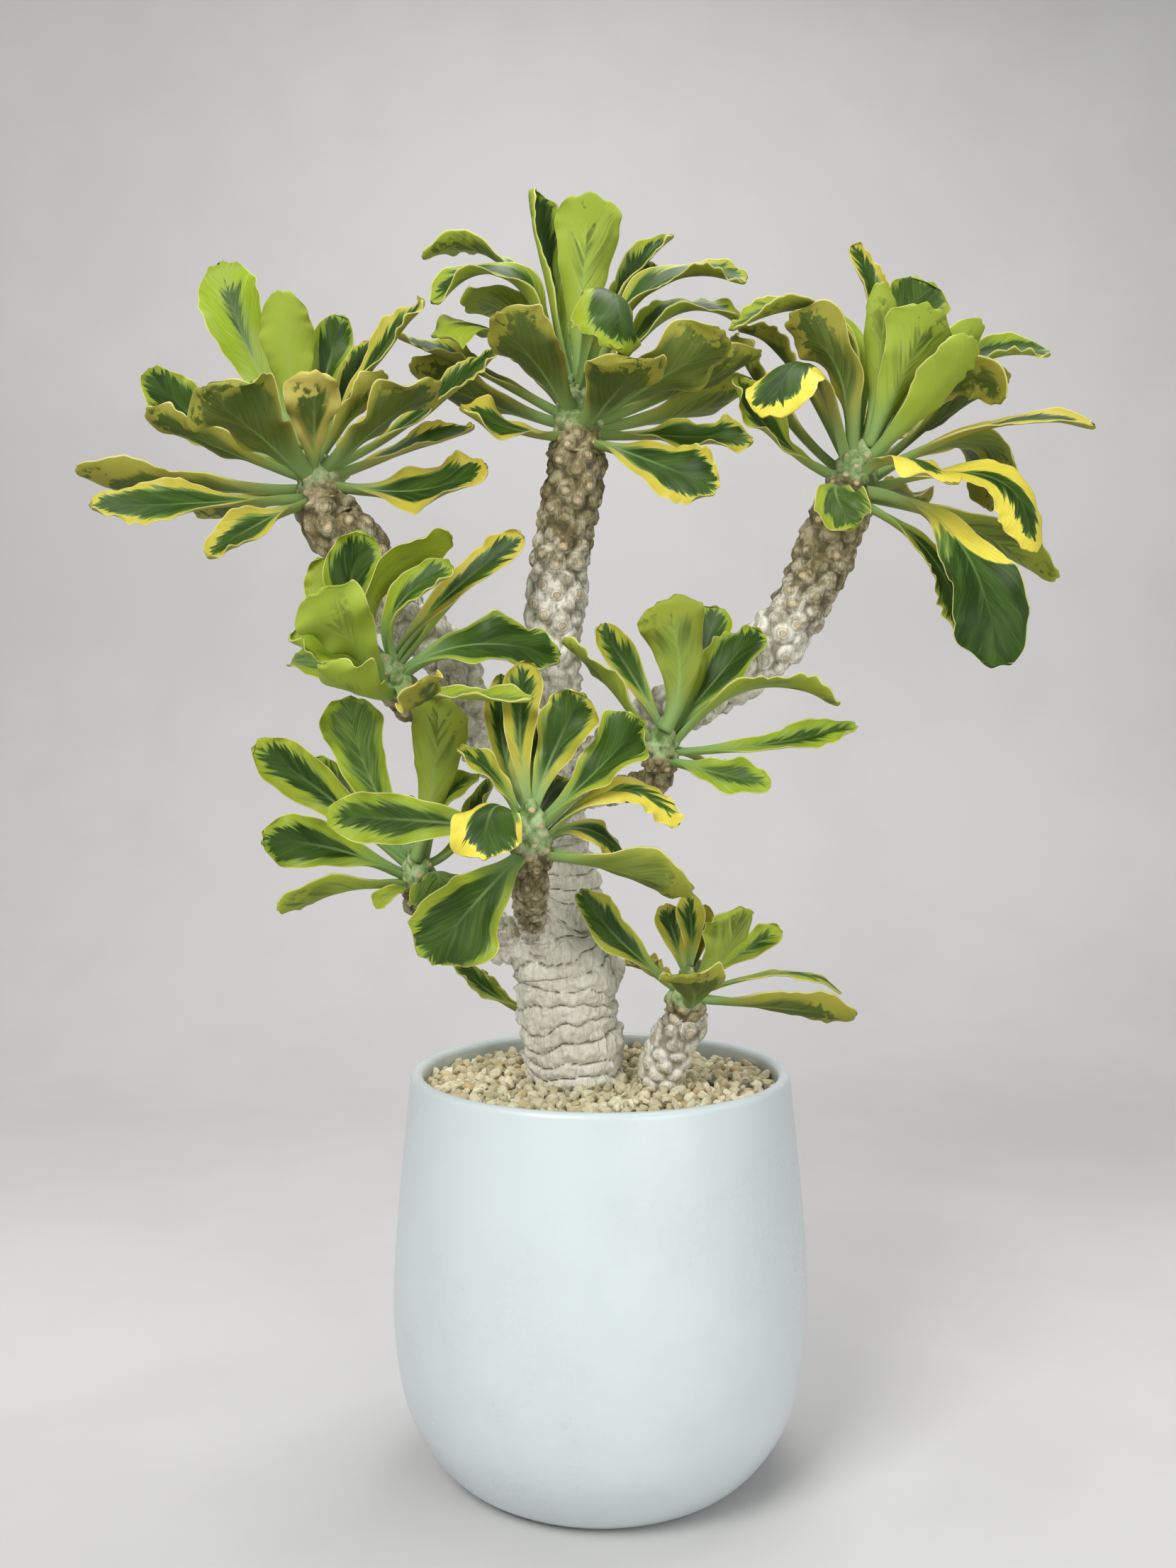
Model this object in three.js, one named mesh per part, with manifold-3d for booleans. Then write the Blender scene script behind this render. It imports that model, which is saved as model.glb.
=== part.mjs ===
// Potted variegated Euphorbia poissonii: an old branched plant and a smaller second one in a round pot.
// Millimetres, +Z up, +X to the right, -Y to the front. The origin is the centre of the pot's flat underside.
import * as THREE from "three";
import { mergeVertices } from "three/addons/utils/BufferGeometryUtils.js";
import Module from "manifold-3d";

const wasm = await Module();
wasm.setup();

// Pot: its wall, the height and outer radius of points up its side, and the clearance that neighbours keep
const POT_HEIGHT = 252;
const POT_WALL = 8;
const POT_FLOOR = 12;
const RIM_RADIUS = 120;
const POT_SIDE = [[0, 86], [8, 98], [23, 111], [45, 122.5], [76, 129], [113, 131], [164, 128], [214, 123.5]];
const POT_SIDES = 28;
const LIP_STEPS = 4;
const GAP = 0.3;

// Fill: pumice over potting mix. The pumice is a lattice of stones a pitch apart, heaped towards the middle.
// Each stone is set off its lattice point by a share of the pitch, and the dips between stones lie lower by a
// share of the relief.
const MIX_TOP = 226;
const PUMICE_TOP = 238;
const PUMICE_RISE = 3;
const PUMICE_PITCH = 20;
const PUMICE_RELIEF = 5;
const STONE_OFFSET = 0.35;
const STONE_HEIGHTS = [0.35, 0.65];
const DIP_DEPTHS = [0.6, 1.1];
const ROW_STEP = PUMICE_PITCH * Math.sqrt(0.75);

// Stems: the buried bases are plain round plugs in plain holes
const ROOT_BOTTOM = 160;
const STEM_START = 244;
const PLUG_TOP = 252;
const TRUNK_PLUG = { x: -15.8, y: 4, radius: 27 };
const SIDE_PLUG = { x: 37.8, y: -17, radius: 14.5 };
const PLUG_SIDES = 14;

// The front view is given from this eye. A point [across, up, toward] lies on the plane Y = 0 as the eye
// sees it and is then slid along its line of sight to "toward" millimetres in front of that plane, so that
// the front view keeps its outline.
const EYE = new THREE.Vector3(-7.9, -936, 457);

function seen([across, up, toward]) {
  const slide = 1 - toward / -EYE.y;
  return new THREE.Vector3(EYE.x + (across - EYE.x) * slide, -toward, EYE.z + (up - EYE.z) * slide);
}

const smooth = (low, high, value) => THREE.MathUtils.smoothstep(value, low, high);
const mix = THREE.MathUtils.lerp;

// Repeatable draws between 0 and 1
function drawer(seed) {
  let state = seed;
  return () => {
    state = (state * 1664525 + 1013904223) % 4294967296;
    return state / 4294967296;
  };
}

// A closed mesh becomes a solid, whichever way its faces were wound
function solid(geometry) {
  const bare = geometry.clone();
  bare.deleteAttribute("normal");
  bare.deleteAttribute("uv");
  const merged = mergeVertices(bare, 1e-4);
  const vertProperties = new Float32Array(merged.attributes.position.array);
  const triVerts = new Uint32Array(merged.index.array);
  const made = new wasm.Manifold(new wasm.Mesh({ numProp: 3, vertProperties, triVerts }));
  if (made.volume() > 0) return made;
  for (let i = 0; i < triVerts.length; i += 3) {
    [triVerts[i], triVerts[i + 1]] = [triVerts[i + 1], triVerts[i]];
  }
  return new wasm.Manifold(new wasm.Mesh({ numProp: 3, vertProperties, triVerts }));
}

function fromPoints(points, faces) {
  const geometry = new THREE.BufferGeometry();
  const places = points.flatMap((p) => [p.x, p.y, p.z]);
  geometry.setAttribute("position", new THREE.Float32BufferAttribute(places, 3));
  geometry.setIndex(faces);
  return geometry;
}

// The largest body of a solid, as a mesh that can be drawn
function meshOf(made, name, colour, roughness) {
  const bodies = made.decompose().sort((a, b) => b.volume() - a.volume());
  const body = bodies[0].getMesh();
  const geometry = new THREE.BufferGeometry();
  geometry.setAttribute("position", new THREE.BufferAttribute(body.vertProperties, 3));
  geometry.setIndex(new THREE.BufferAttribute(body.triVerts, 1));
  const faceted = geometry.toNonIndexed();
  faceted.computeVertexNormals();
  const finish = new THREE.MeshStandardMaterial({ color: colour, roughness, metalness: 0 });
  const mesh = new THREE.Mesh(faceted, finish);
  mesh.name = name;
  return mesh;
}

function plug({ x, y, radius }, bottom, top) {
  const round = new THREE.CylinderGeometry(radius, radius, top - bottom, PLUG_SIDES);
  round.rotateX(Math.PI / 2);
  round.translate(x, y, (top + bottom) / 2);
  return solid(round);
}

// Inner radius of the pot at a height
function insideRadius(height) {
  const i = POT_SIDE.findIndex(([z]) => z >= height);
  if (i < 0) return RIM_RADIUS - POT_WALL;
  const [lowZ, lowR] = POT_SIDE[Math.max(i - 1, 0)];
  const [highZ, highR] = POT_SIDE[i];
  return mix(lowR, highR, (height - lowZ) / Math.max(highZ - lowZ, 1)) - POT_WALL;
}

// The round space inside the pot between two heights, kept off the wall by the clearance
function insideLathe(bottom, top) {
  const heights = POT_SIDE.map(([z]) => z).filter((z) => z > bottom && z < top);
  const wall = [bottom, ...heights, top].map((z) => new THREE.Vector2(insideRadius(z) - GAP, z));
  const profile = [new THREE.Vector2(0, bottom), ...wall, new THREE.Vector2(0, top)];
  const turned = new THREE.LatheGeometry(profile, POT_SIDES);
  turned.rotateX(Math.PI / 2);
  return solid(turned);
}

function pot() {
  const outside = POT_SIDE.map(([z, radius]) => new THREE.Vector2(radius, z));
  const half = POT_WALL / 2;
  const lip = [];
  for (let i = 0; i <= LIP_STEPS; i += 1) {
    const turn = (i / LIP_STEPS) * Math.PI;
    const radius = RIM_RADIUS - half + half * Math.cos(turn);
    lip.push(new THREE.Vector2(radius, POT_HEIGHT - half + half * Math.sin(turn)));
  }
  const heights = POT_SIDE.map(([z]) => z).filter((z) => z > POT_FLOOR).reverse();
  const inside = heights.map((z) => new THREE.Vector2(insideRadius(z), z));
  const floor = [new THREE.Vector2(insideRadius(POT_FLOOR), POT_FLOOR), new THREE.Vector2(0, POT_FLOOR)];
  const profile = [new THREE.Vector2(0, 0), ...outside, ...lip, ...inside, ...floor];
  const turned = new THREE.LatheGeometry(profile, POT_SIDES);
  turned.rotateX(Math.PI / 2);
  return meshOf(solid(turned), "pot", 0xe3ebeb, 0.35);
}

// The two plain round holes that the buried stem bases stand in
function holes() {
  const hole = (base) => plug({ ...base, radius: base.radius + GAP }, ROOT_BOTTOM - GAP, POT_HEIGHT);
  return hole(TRUNK_PLUG).add(hole(SIDE_PLUG));
}

function pottingMix() {
  const fill = insideLathe(POT_FLOOR + GAP, MIX_TOP - GAP).subtract(holes());
  return meshOf(fill, "potting_mix", 0x4a3a2c, 1);
}

// Pumice: each stone is a peak of the lattice, with a dip in the middle of each three stones
function pumice() {
  const draw = drawer(11);
  const reach = Math.ceil(RIM_RADIUS / PUMICE_PITCH) + 1;
  const columns = 2 * reach + 1;
  const rows = columns + 2;
  const peaks = [];
  for (let row = 0; row < rows; row += 1) {
    for (let column = 0; column < columns; column += 1) {
      const x = (column - reach + (row % 2) / 2 + STONE_OFFSET * (draw() - 0.5)) * PUMICE_PITCH;
      const y = (row - reach - 1 + STONE_OFFSET * (draw() - 0.5)) * ROW_STEP;
      const heap = PUMICE_RISE * (1 - Math.hypot(x, y) / RIM_RADIUS);
      const stone = PUMICE_RELIEF * mix(...STONE_HEIGHTS, draw());
      peaks.push(new THREE.Vector3(x, y, PUMICE_TOP + heap + stone));
    }
  }
  const undersides = peaks.map((p) => new THREE.Vector3(p.x, p.y, MIX_TOP - PUMICE_PITCH));
  const points = [...peaks, ...undersides];
  const under = peaks.length;
  const faces = [];
  const split = (a, b, c) => {
    const dip = points[a].clone().add(points[b]).add(points[c]).divideScalar(3);
    dip.z -= PUMICE_RELIEF * mix(...DIP_DEPTHS, draw());
    points.push(dip);
    const d = points.length - 1;
    faces.push(a, b, d, b, c, d, c, a, d);
    faces.push(under + a, under + c, under + b);
  };
  for (let row = 0; row < rows - 1; row += 1) {
    for (let column = 0; column < columns - 1; column += 1) {
      const a = row * columns + column;
      const c = a + columns;
      if (row % 2) {
        split(a, a + 1, c + 1);
        split(a, c + 1, c);
      } else {
        split(a, a + 1, c);
        split(a + 1, c + 1, c);
      }
    }
  }
  const wall = (a, b) => faces.push(a, under + a, b, b, under + a, under + b);
  const lastRow = (rows - 1) * columns;
  for (let column = 0; column < columns - 1; column += 1) {
    wall(column, column + 1);
    wall(lastRow + column + 1, lastRow + column);
  }
  for (let row = 0; row < rows - 1; row += 1) {
    wall((row + 1) * columns - 1, (row + 2) * columns - 1);
    wall((row + 1) * columns, row * columns);
  }
  const layer = solid(fromPoints(points, faces)).intersect(insideLathe(MIX_TOP, POT_HEIGHT));
  return meshOf(layer.subtract(holes()), "pumice_topdressing", 0xc9bd93, 1);
}

// The old trunk's middle line and radius from the gravel up
const TRUNK_LINE = [
  [-15.8, 4, STEM_START], [-16.9, 3, 262], [-22, 2, 292], [-21.5, 1, 315], [-26, 0, 330], [-26, 0, 343],
  [-18, 0, 358], [-18.5, 0, 378], [-22, 0, 394],
];
const TRUNK_RADII = [27, 30.5, 30.5, 33.5, 31, 25, 17.5, 16, 12.5];
const TRUNK_SIDES = 14;
const RIDGE_PITCH = 11;
const RIDGE_DEPTH = 3.4;
const RIDGE_LIFT = 1.6;
const BARK_WAVE = 1;
const BARK_ROUGHNESS = 1.4;

// Branches, each up to the growing tip of a rosette, with a radius at each point and at the two points that
// the rosette adds
const BRANCHES = [
  {
    rosette: "rosette_top_centre", sides: 7, pitch: 17, knobs: 2.8, plain: 0.45, seed: 31,
    line: [
      [-21.5, 385, 0], [-21.2, 402, 0], [-23.4, 457.6, -4], [-26.5, 501, -4], [-28.7, 538, 0],
      [-23.3, 589, 0],
    ],
    radii: [11, 10.5, 10.5, 13.5, 18, 18, 18, 17.5],
  },
  {
    rosette: "rosette_top_left", sides: 7, pitch: 17, knobs: 2.8, plain: 0.4, seed: 32,
    line: [
      [-22, 388, 0], [-25.6, 412.7, 0], [-57, 440, -6], [-79.5, 460, -10], [-86, 489, -12], [-97, 514, -10],
      [-136, 547, -4], [-154, 583, 0],
    ],
    radii: [11, 11.5, 12, 12.5, 14, 15.5, 17, 18, 18.5, 18.5],
  },
  {
    rosette: "rosette_top_right", sides: 7, pitch: 17, knobs: 2.8, plain: 0.25, seed: 33,
    line: [
      [-22, 415, 0], [-7.7, 444, 0], [37, 475.6, -2], [73, 493.5, -2], [107.9, 520, 0], [130.6, 554, 0],
    ],
    radii: [9, 12, 15.5, 16.5, 17.5, 17.5, 17.5, 17.5],
  },
  {
    rosette: "rosette_mid_left", sides: 6, pitch: 12, knobs: 1.5, plain: 0.1, seed: 34,
    line: [[-88, 500, -10], [-103, 492, 12]],
    radii: [8, 8.5, 9, 9],
  },
  {
    rosette: "rosette_mid_right", sides: 6, pitch: 12, knobs: 1.5, plain: 0.1, seed: 35,
    line: [[-22, 420, 0], [4, 428, 10], [28, 432, 22]],
    radii: [7.5, 8, 9, 9.5, 9.5],
  },
  {
    rosette: "rosette_front", sides: 6, pitch: 12, knobs: 1.8, plain: 0.1, seed: 36,
    line: [[-33, 326, 12], [-40, 337, 40], [-44.5, 356, 66]],
    radii: [8, 8.5, 9.5, 10, 10],
  },
  {
    rosette: "rosette_low_left", sides: 6, pitch: 12, knobs: 1.5, plain: 0.1, seed: 37,
    line: [[-40, 334, 10], [-70, 343, 18], [-97, 350, 22]],
    radii: [8, 8.5, 9, 9.5, 9.5],
  },
  {
    rosette: "rosette_basal_shoot", sides: 6, pitch: 12, knobs: 1.2, plain: 0.1, seed: 38,
    line: [[-20, 268, -10], [-29, 266, -30]],
    radii: [6, 6.5, 7, 7],
  },
];

// Cut ends of branches that were lost long ago
const STUBS = [
  { line: [[-30, 332, 4], [-52, 332, 6], [-70, 322, 6]], radii: [12, 9.5, 8], sides: 7, pitch: 11 },
  { line: [[-20, 314, 0], [4, 316, 2], [15, 316, 4]], radii: [10, 8, 6.5], sides: 7, pitch: 11 },
];

// The second, smaller plant
const SIDE_STEM = {
  rosette: "rosette_side_plant", sides: 8, pitch: 11, knobs: 2.2, plain: 0, seed: 39,
  line: [[38.6, 243, 17.5], [40.5, 254, 21], [46, 268, 28]],
  radii: [13.5, 14, 14, 13.5, 12],
};

// Leaves: the stalk's share of the blade's width, the thickness of the fleshy stalk, of the blade's middle
// and of its margin on a leaf of common width, and the margin's waves as a share of half the width
const COMMON_WIDTH = 36;
const STALK_SHARE = 0.2;
const STALK_THICKNESS = 5.6;
const BLADE_THICKNESS = 2.4;
const EDGE_THICKNESS = 0.9;
const WAVE_HEIGHT = 0.24;
const LEAF_LINE_STEPS = 32;

// Rosettes. "at" is the middle of the growing tip as [across, up, toward the front] in the front view,
// "grows" is the way it points, and "tip" its radius at the leaves, its radius above them and its reach below
// and above. Each leaf is a row: height of its root on the growing tip, middle point, tip point, width, fold
// of the blade in degrees, roll of its upper face to the front in degrees, the side of the growing tip it
// stands on in degrees from the front (null: the side it leans to), and how far along it is widest. Leaf
// points are measured from "at".
const ROSETTES = {
  rosette_top_left: {
    at: [-180, 630, 0], grows: [-0.3, 0, 0.95], tip: { radius: 17.5, top: 9, below: 24, above: 24 }, seed: 51,
    leaves: [
      [12, [-40, 73, -20], [-58, 131, -30], 42, 25, 0, 180, 0.82],
      [14, [-14, 60, 6], [-21, 113, 14], 35, 35, 0, 0, 0.7],
      [12, [5, 51, -6], [18, 97, -6], 28, 50, 30, 150, 0.8],
      [4, [-68, 28, -15], [-104, 64, -5], 34, 20, 70, null, 0.74],
      [-2, [-62, 17, 8], [-106, 38, 12], 26, 30, -30, null, 0.7],
      [-3, [-30, 21, 38], [-68, 52, 75], 60, 20, 0, null, 0.8],
      [2, [-1, 26, 30], [-1, 63, 48], 37, 20, 0, 0, 0.8],
      [-1, [38, 29, 35], [77, 58, 60], 42, 25, -10, null, 0.8],
      [5, [21, 34, 10], [44, 62, 12], 22, 40, 0, 40, 0.74],
      [8, [16, 42, -18], [33, 82, -32], 30, 20, 0, 150, 0.74],
      [10, [30, 58, 4], [68, 108, 14], 28, 40, 40, null, 0.7],
      [0, [64, 34, 12], [116, 80, 27], 27, 30, 40, null, 0.65],
      [-4, [52, 12, -20], [100, 30, -30], 34, 30, 30, null, 0.7],
      [-8, [62, -12, 20], [108, 4, 35], 42, 20, 45, null, 0.6],
      [-8, [-84, -9, -6], [-151, 0, 2], 32, 30, -30, null, 0.7],
      [-14, [-78, -20, 20], [-142, -22, 35], 38, 20, 50, null, 0.7],
      [-16, [-36, -33, 25], [-69, -53, 40], 30, 40, 50, null, 0.65],
      [-12, [-45, -22, -30], [-75, -28, -50], 30, 30, -30, null, 0.7],
      [4, [-15, 40, -50], [-25, 70, -95], 40, 25, 0, null, 0.74],
      [-4, [25, 18, -50], [45, 35, -100], 38, 25, 0, null, 0.74],
      [-10, [5, -5, -55], [10, -15, -105], 36, 25, 0, null, 0.74],
    ],
  },
  rosette_top_centre: {
    at: [-14, 665, 0], grows: [0.05, 0, 1], tip: { radius: 17, top: 10, below: 26, above: 28 }, seed: 52,
    leaves: [
      [20, [3, 82, 4], [8, 138, 12], 44, 25, 0, 0, 0.9],
      [18, [-18, 84, -8], [-28, 140, -10], 34, 60, 0, -120, 0.85],
      [16, [20, 76, 48], [26, 42, 84], 54, -70, 0, 0, 0.78],
      [12, [-46, 94, -25], [-98, 98, -30], 26, 30, -15, null, 0.7],
      [10, [-42, 86, 2], [-92, 70, 8], 36, 35, 25, null, 0.65],
      [6, [-52, 52, 5], [-92, 50, 12], 42, -20, 25, null, 0.75],
      [6, [-35, 60, -25], [-72, 66, -40], 44, 30, -20, null, 0.74],
      [2, [-26, 34, 38], [-52, 63, 60], 46, 25, -10, null, 0.72],
      [0, [-69, 31, -15], [-113, 50, -25], 30, 40, 20, null, 0.74],
      [-4, [-62, 11, -25], [-106, 32, -35], 38, 25, -40, null, 0.7],
      [-12, [-42, -8, 25], [-74, 6, 40], 36, 20, 40, null, 0.65],
      [-6, [21, 14, 45], [36, 34, 80], 52, 25, 0, null, 0.85],
      [0, [51, 24, 22], [93, 51, 34], 44, 25, -40, null, 0.7],
      [-4, [64, 16, -5], [115, 39, -10], 30, 40, -20, null, 0.7],
      [-6, [64, 2, -25], [109, 20, -40], 36, 30, -30, null, 0.7],
      [-10, [64, -13, 15], [110, -14, 25], 36, 20, 40, null, 0.7],
      [-14, [49, -30, 40], [88, -46, 55], 38, 15, 60, null, 0.74],
      [4, [55, 62, -10], [100, 58, -15], 32, 40, 25, null, 0.7],
      [12, [44, 79, -5], [106, 84, -5], 36, 35, 25, null, 0.7],
      [14, [28, 78, -24], [59, 113, -34], 22, 60, 0, null, 0.7],
      [10, [30, 70, -25], [50, 92, -32], 28, 40, 20, null, 0.74],
      [8, [8, 36, -45], [10, 55, -90], 40, 25, 0, null, 0.74],
      [0, [-20, 22, -45], [-33, 40, -85], 38, 25, 0, null, 0.74],
      [-4, [30, 12, -45], [50, 26, -90], 36, 25, 0, null, 0.74],
    ],
  },
  rosette_top_right: {
    at: [161, 630, 0], grows: [0.35, 0, 0.94], tip: { radius: 17, top: 9, below: 24, above: 26 }, seed: 53,
    leaves: [
      [18, [15, 71, 6], [15, 118, 8], 24, 60, 0, 0, 0.7],
      [16, [28, 60, 15], [48, 103, 25], 46, 30, 0, 20, 0.88],
      [8, [46, 47, 30], [73, 84, 45], 36, 25, 0, null, 0.74],
      [16, [24, 70, -15], [44, 119, -25], 42, 20, 0, 180, 0.88],
      [18, [16, 82, -34], [-2, 142, -46], 20, 60, 0, 180, 0.8],
      [6, [44, 57, 5], [79, 92, 0], 24, 30, -60, 90, 0.8],
      [6, [62, 63, -5], [122, 74, -5], 28, 40, 30, null, 0.74],
      [2, [60, 58, 12], [91, 42, 16], 32, -30, -30, null, 0.74],
      [0, [58, 38, -20], [97, 58, -25], 34, 30, -40, null, 0.74],
      [-2, [85, 29, 16], [151, 29, 24], 26, 25, 30, null, 0.85],
      [-4, [70, 21, -6], [102, -6, -4], 34, -20, -20, null, 0.74],
      [-6, [66, 18, -40], [88, -25, -52], 44, -20, 0, null, 0.74],
      [-8, [86, -4, 14], [110, -51, 24], 34, -20, 55, null, 0.74],
      [-4, [27, 9, 35], [62, -8, 70], 40, -25, 20, null, 0.74],
      [12, [-15, 95, 5], [-80, 88, 8], 30, 40, 20, null, 0.65],
      [14, [-4, 84, -20], [-39, 92, -28], 30, 40, 20, null, 0.74],
      [8, [-12, 67, 15], [-44, 94, 20], 38, 30, -30, null, 0.8],
      [2, [-30, 67, 25], [-55, 33, 50], 48, -30, 0, null, 0.78],
      [-6, [-48, 20, 5], [-76, 58, 5], 34, 25, 45, null, 0.7],
      [-14, [-13, -13, 30], [-1, -37, 50], 34, 20, 20, null, 0.7],
      [-16, [47, -52, 15], [68, -101, 20], 28, 20, 50, null, 0.7],
      [-10, [62, -40, 35], [91, -123, 60], 48, 15, 60, null, 0.78],
      [-12, [76, -36, -10], [127, -68, -15], 30, 20, -30, null, 0.65],
      [4, [-44, 70, -20], [-75, 90, -28], 26, 50, 0, null, 0.8],
      [-2, [-48, 38, -25], [-77, 85, -34], 28, 40, -20, null, 0.8],
      [4, [15, 20, -50], [30, 48, -95], 38, 25, 0, null, 0.74],
      [-8, [20, -10, -50], [40, -18, -95], 34, 25, 0, null, 0.74],
    ],
  },
  rosette_mid_left: {
    at: [-132, 501, 50], grows: [-0.3, -0.6, 0.7],
    tip: { radius: 12, top: 8, below: 16, above: 16 }, seed: 54,
    leaves: [
      [6, [-30, 37, -15], [-44, 75, -20], 32, 20, 0, 180, 0.74],
      [8, [-26, 46, -5], [-14, 89, 0], 36, 40, 0, 180, 0.74],
      [0, [-26, 24, 30], [-50, 52, 50], 46, 20, -50, null, 0.78],
      [-4, [-32, 10, 12], [-64, 27, 20], 34, 40, 0, null, 0.74],
      [-6, [-19, -9, 35], [-44, 7, 60], 40, 45, 0, null, 0.74],
      [6, [-10, 55, 10], [39, 86, 10], 32, 20, 20, -90, 0.74],
      [8, [2, 42, 14], [39, 69, 20], 26, 50, 0, null, 0.74],
      [8, [28, 44, -10], [83, 89, -10], 24, 30, 20, null, 0.74],
      [4, [30, 39, -22], [62, 74, -34], 26, 50, -40, null, 0.74],
      [0, [50, 20, 10], [107, 12, 2], 40, 20, 10, null, 0.6],
      [-2, [16, -16, 45], [20, 0, 80], 30, 20, 0, null, 0.74],
      [-8, [44, -12, 30], [89, -14, 50], 18, 50, -20, null, 0.7],
      [-4, [-35, 5, -35], [-60, 15, -75], 30, 25, 0, null, 0.74],
    ],
  },
  rosette_mid_right: {
    at: [39, 459, 40], grows: [0.1, -0.35, 0.93], tip: { radius: 11, top: 7, below: 16, above: 16 }, seed: 55,
    leaves: [
      [0, [-32, 36, 10], [-63, 65, 15], 26, 30, -30, null, 0.65],
      [6, [-20, 44, -10], [-40, 74, -15], 22, 40, 0, 180, 0.7],
      [8, [11, 44, 5], [1, 91, 10], 44, 30, 0, 0, 0.9],
      [6, [22, 44, -22], [33, 86, -34], 30, 20, 0, 160, 0.85],
      [4, [32, 38, -5], [60, 73, -10], 38, 20, 0, 140, 0.78],
      [0, [56, 36, 10], [113, 25, 15], 34, 25, -30, null, 0.6],
      [-4, [65, -1, 5], [123, 11, 5], 20, 30, 30, null, 0.7],
      [-8, [34, -19, 25], [69, -27, 40], 24, 20, 40, null, 0.65],
      [-2, [20, -8, -40], [38, -22, -85], 28, 25, 0, null, 0.74],
    ],
  },
  rosette_front: {
    at: [-44, 402, 90], grows: [0, -0.3, 0.95], tip: { radius: 12, top: 8, below: 20, above: 20 }, seed: 56,
    leaves: [
      [10, [-7, 61, -5], [-2, 108, -10], 24, 20, 0, 180, 0.78],
      [10, [13, 48, -5], [33, 88, -5], 34, 20, 0, 170, 0.8],
      [6, [40, 38, 5], [71, 71, 10], 42, 20, 30, null, 0.85],
      [-4, [55, 27, 5], [93, 4, 8], 20, -10, 30, null, 0.7],
      [-6, [37, 2, -15], [64, -23, -18], 28, -20, 20, null, 0.6],
      [-10, [55, -22, 10], [103, -38, 20], 36, 30, -60, null, 0.7],
      [0, [-22, 17, 25], [-31, -17, 50], 42, -25, 0, null, 0.72],
      [6, [-22, 34, 5], [-46, 54, 5], 18, 30, 20, null, 0.65],
      [8, [-17, 52, -20], [-17, 100, -28], 20, 20, 0, 180, 0.74],
      [0, [-53, 6, 15], [-130, 10, 25], 30, 15, 70, null, 0.7],
      [-9, [-37, -47, 32], [-66, -83, 45], 50, 10, 60, null, 0.72],
      [6, [1, 43, -20], [12, 74, -32], 14, 30, 0, 180, 0.74],
      [0, [8, 18, -38], [20, 36, -70], 30, 25, 0, null, 0.74],
    ],
  },
  rosette_low_left: {
    at: [-116, 378, 20], grows: [-0.1, -0.3, 0.95],
    tip: { radius: 12, top: 8, below: 16, above: 16 }, seed: 57,
    leaves: [
      [4, [-60, 49, 0], [-103, 80, 5], 32, 20, 60, null, 0.74],
      [8, [-30, 58, 0], [-44, 110, 5], 40, 30, 0, 180, 0.85],
      [-2, [-55, 14, 15], [-99, 19, 25], 34, 20, 60, null, 0.78],
      [-6, [-51, -12, 20], [-88, -27, 30], 28, 35, -50, null, 0.74],
      [-10, [-17, -14, 15], [-27, -24, 15], 12, 30, 40, null, 0.74],
      [-4, [13, -3, 30], [10, -26, 55], 44, -40, 0, null, 0.74],
      [8, [10, 53, 14], [14, 110, 35], 38, 30, 0, 0, 0.85],
      [6, [17, 44, 10], [39, 60, 10], 18, 30, 30, null, 0.74],
      [4, [27, 20, -10], [46, 58, -15], 22, 40, 0, null, 0.74],
      [6, [-45, 45, -20], [-64, 72, -28], 22, 30, 40, null, 0.74],
      [4, [-5, 20, -40], [-15, 45, -75], 30, 25, 0, null, 0.74],
    ],
  },
  rosette_side_plant: {
    at: [55, 301, 38], grows: [0.1, -0.2, 0.97], tip: { radius: 12, top: 8, below: 16, above: 16 }, seed: 58,
    leaves: [
      [2, [-40, 30, 5], [-68, 64, 10], 26, 20, 50, null, 0.65],
      [6, [-7, 32, -10], [-15, 55, -15], 20, 30, 0, 180, 0.74],
      [8, [3, 35, -5], [0, 62, -5], 18, 20, 0, 180, 0.74],
      [8, [8, 32, -12], [11, 55, -18], 14, 30, 0, 180, 0.74],
      [4, [22, 27, 12], [33, 54, 22], 38, 25, 0, 30, 0.78],
      [4, [32, 23, -10], [60, 39, -15], 18, 30, 40, null, 0.78],
      [0, [63, 12, 5], [99, -1, 5], 14, -20, 0, null, 0.74],
      [-2, [66, -10, 15], [108, -15, 20], 26, 30, -60, null, 0.65],
      [-4, [5, -1, 25], [0, 11, 50], 40, 30, 0, 0, 0.74],
      [0, [10, 14, -40], [18, 18, -75], 26, 25, 0, null, 0.74],
      [0, [-20, 12, -40], [-33, 20, -75], 24, 25, 0, null, 0.74],
    ],
  },
  rosette_basal_shoot: {
    at: [-34, 284, -46], grows: [-0.2, 0.3, 0.9], tip: { radius: 8, top: 6, below: 10, above: 10 }, seed: 59,
    leaves: [
      [2, [-32, 14, 0], [-60, 38, 0], 20, 30, 60, null, 0.74],
      [4, [-26, 13, -6], [-43, 30, -8], 10, 60, 0, null, 0.74],
      [0, [20, 20, -25], [35, 40, -50], 22, 30, 0, null, 0.74],
      [2, [-5, 25, -30], [-10, 50, -55], 24, 30, 0, null, 0.74],
    ],
  },
};

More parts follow.
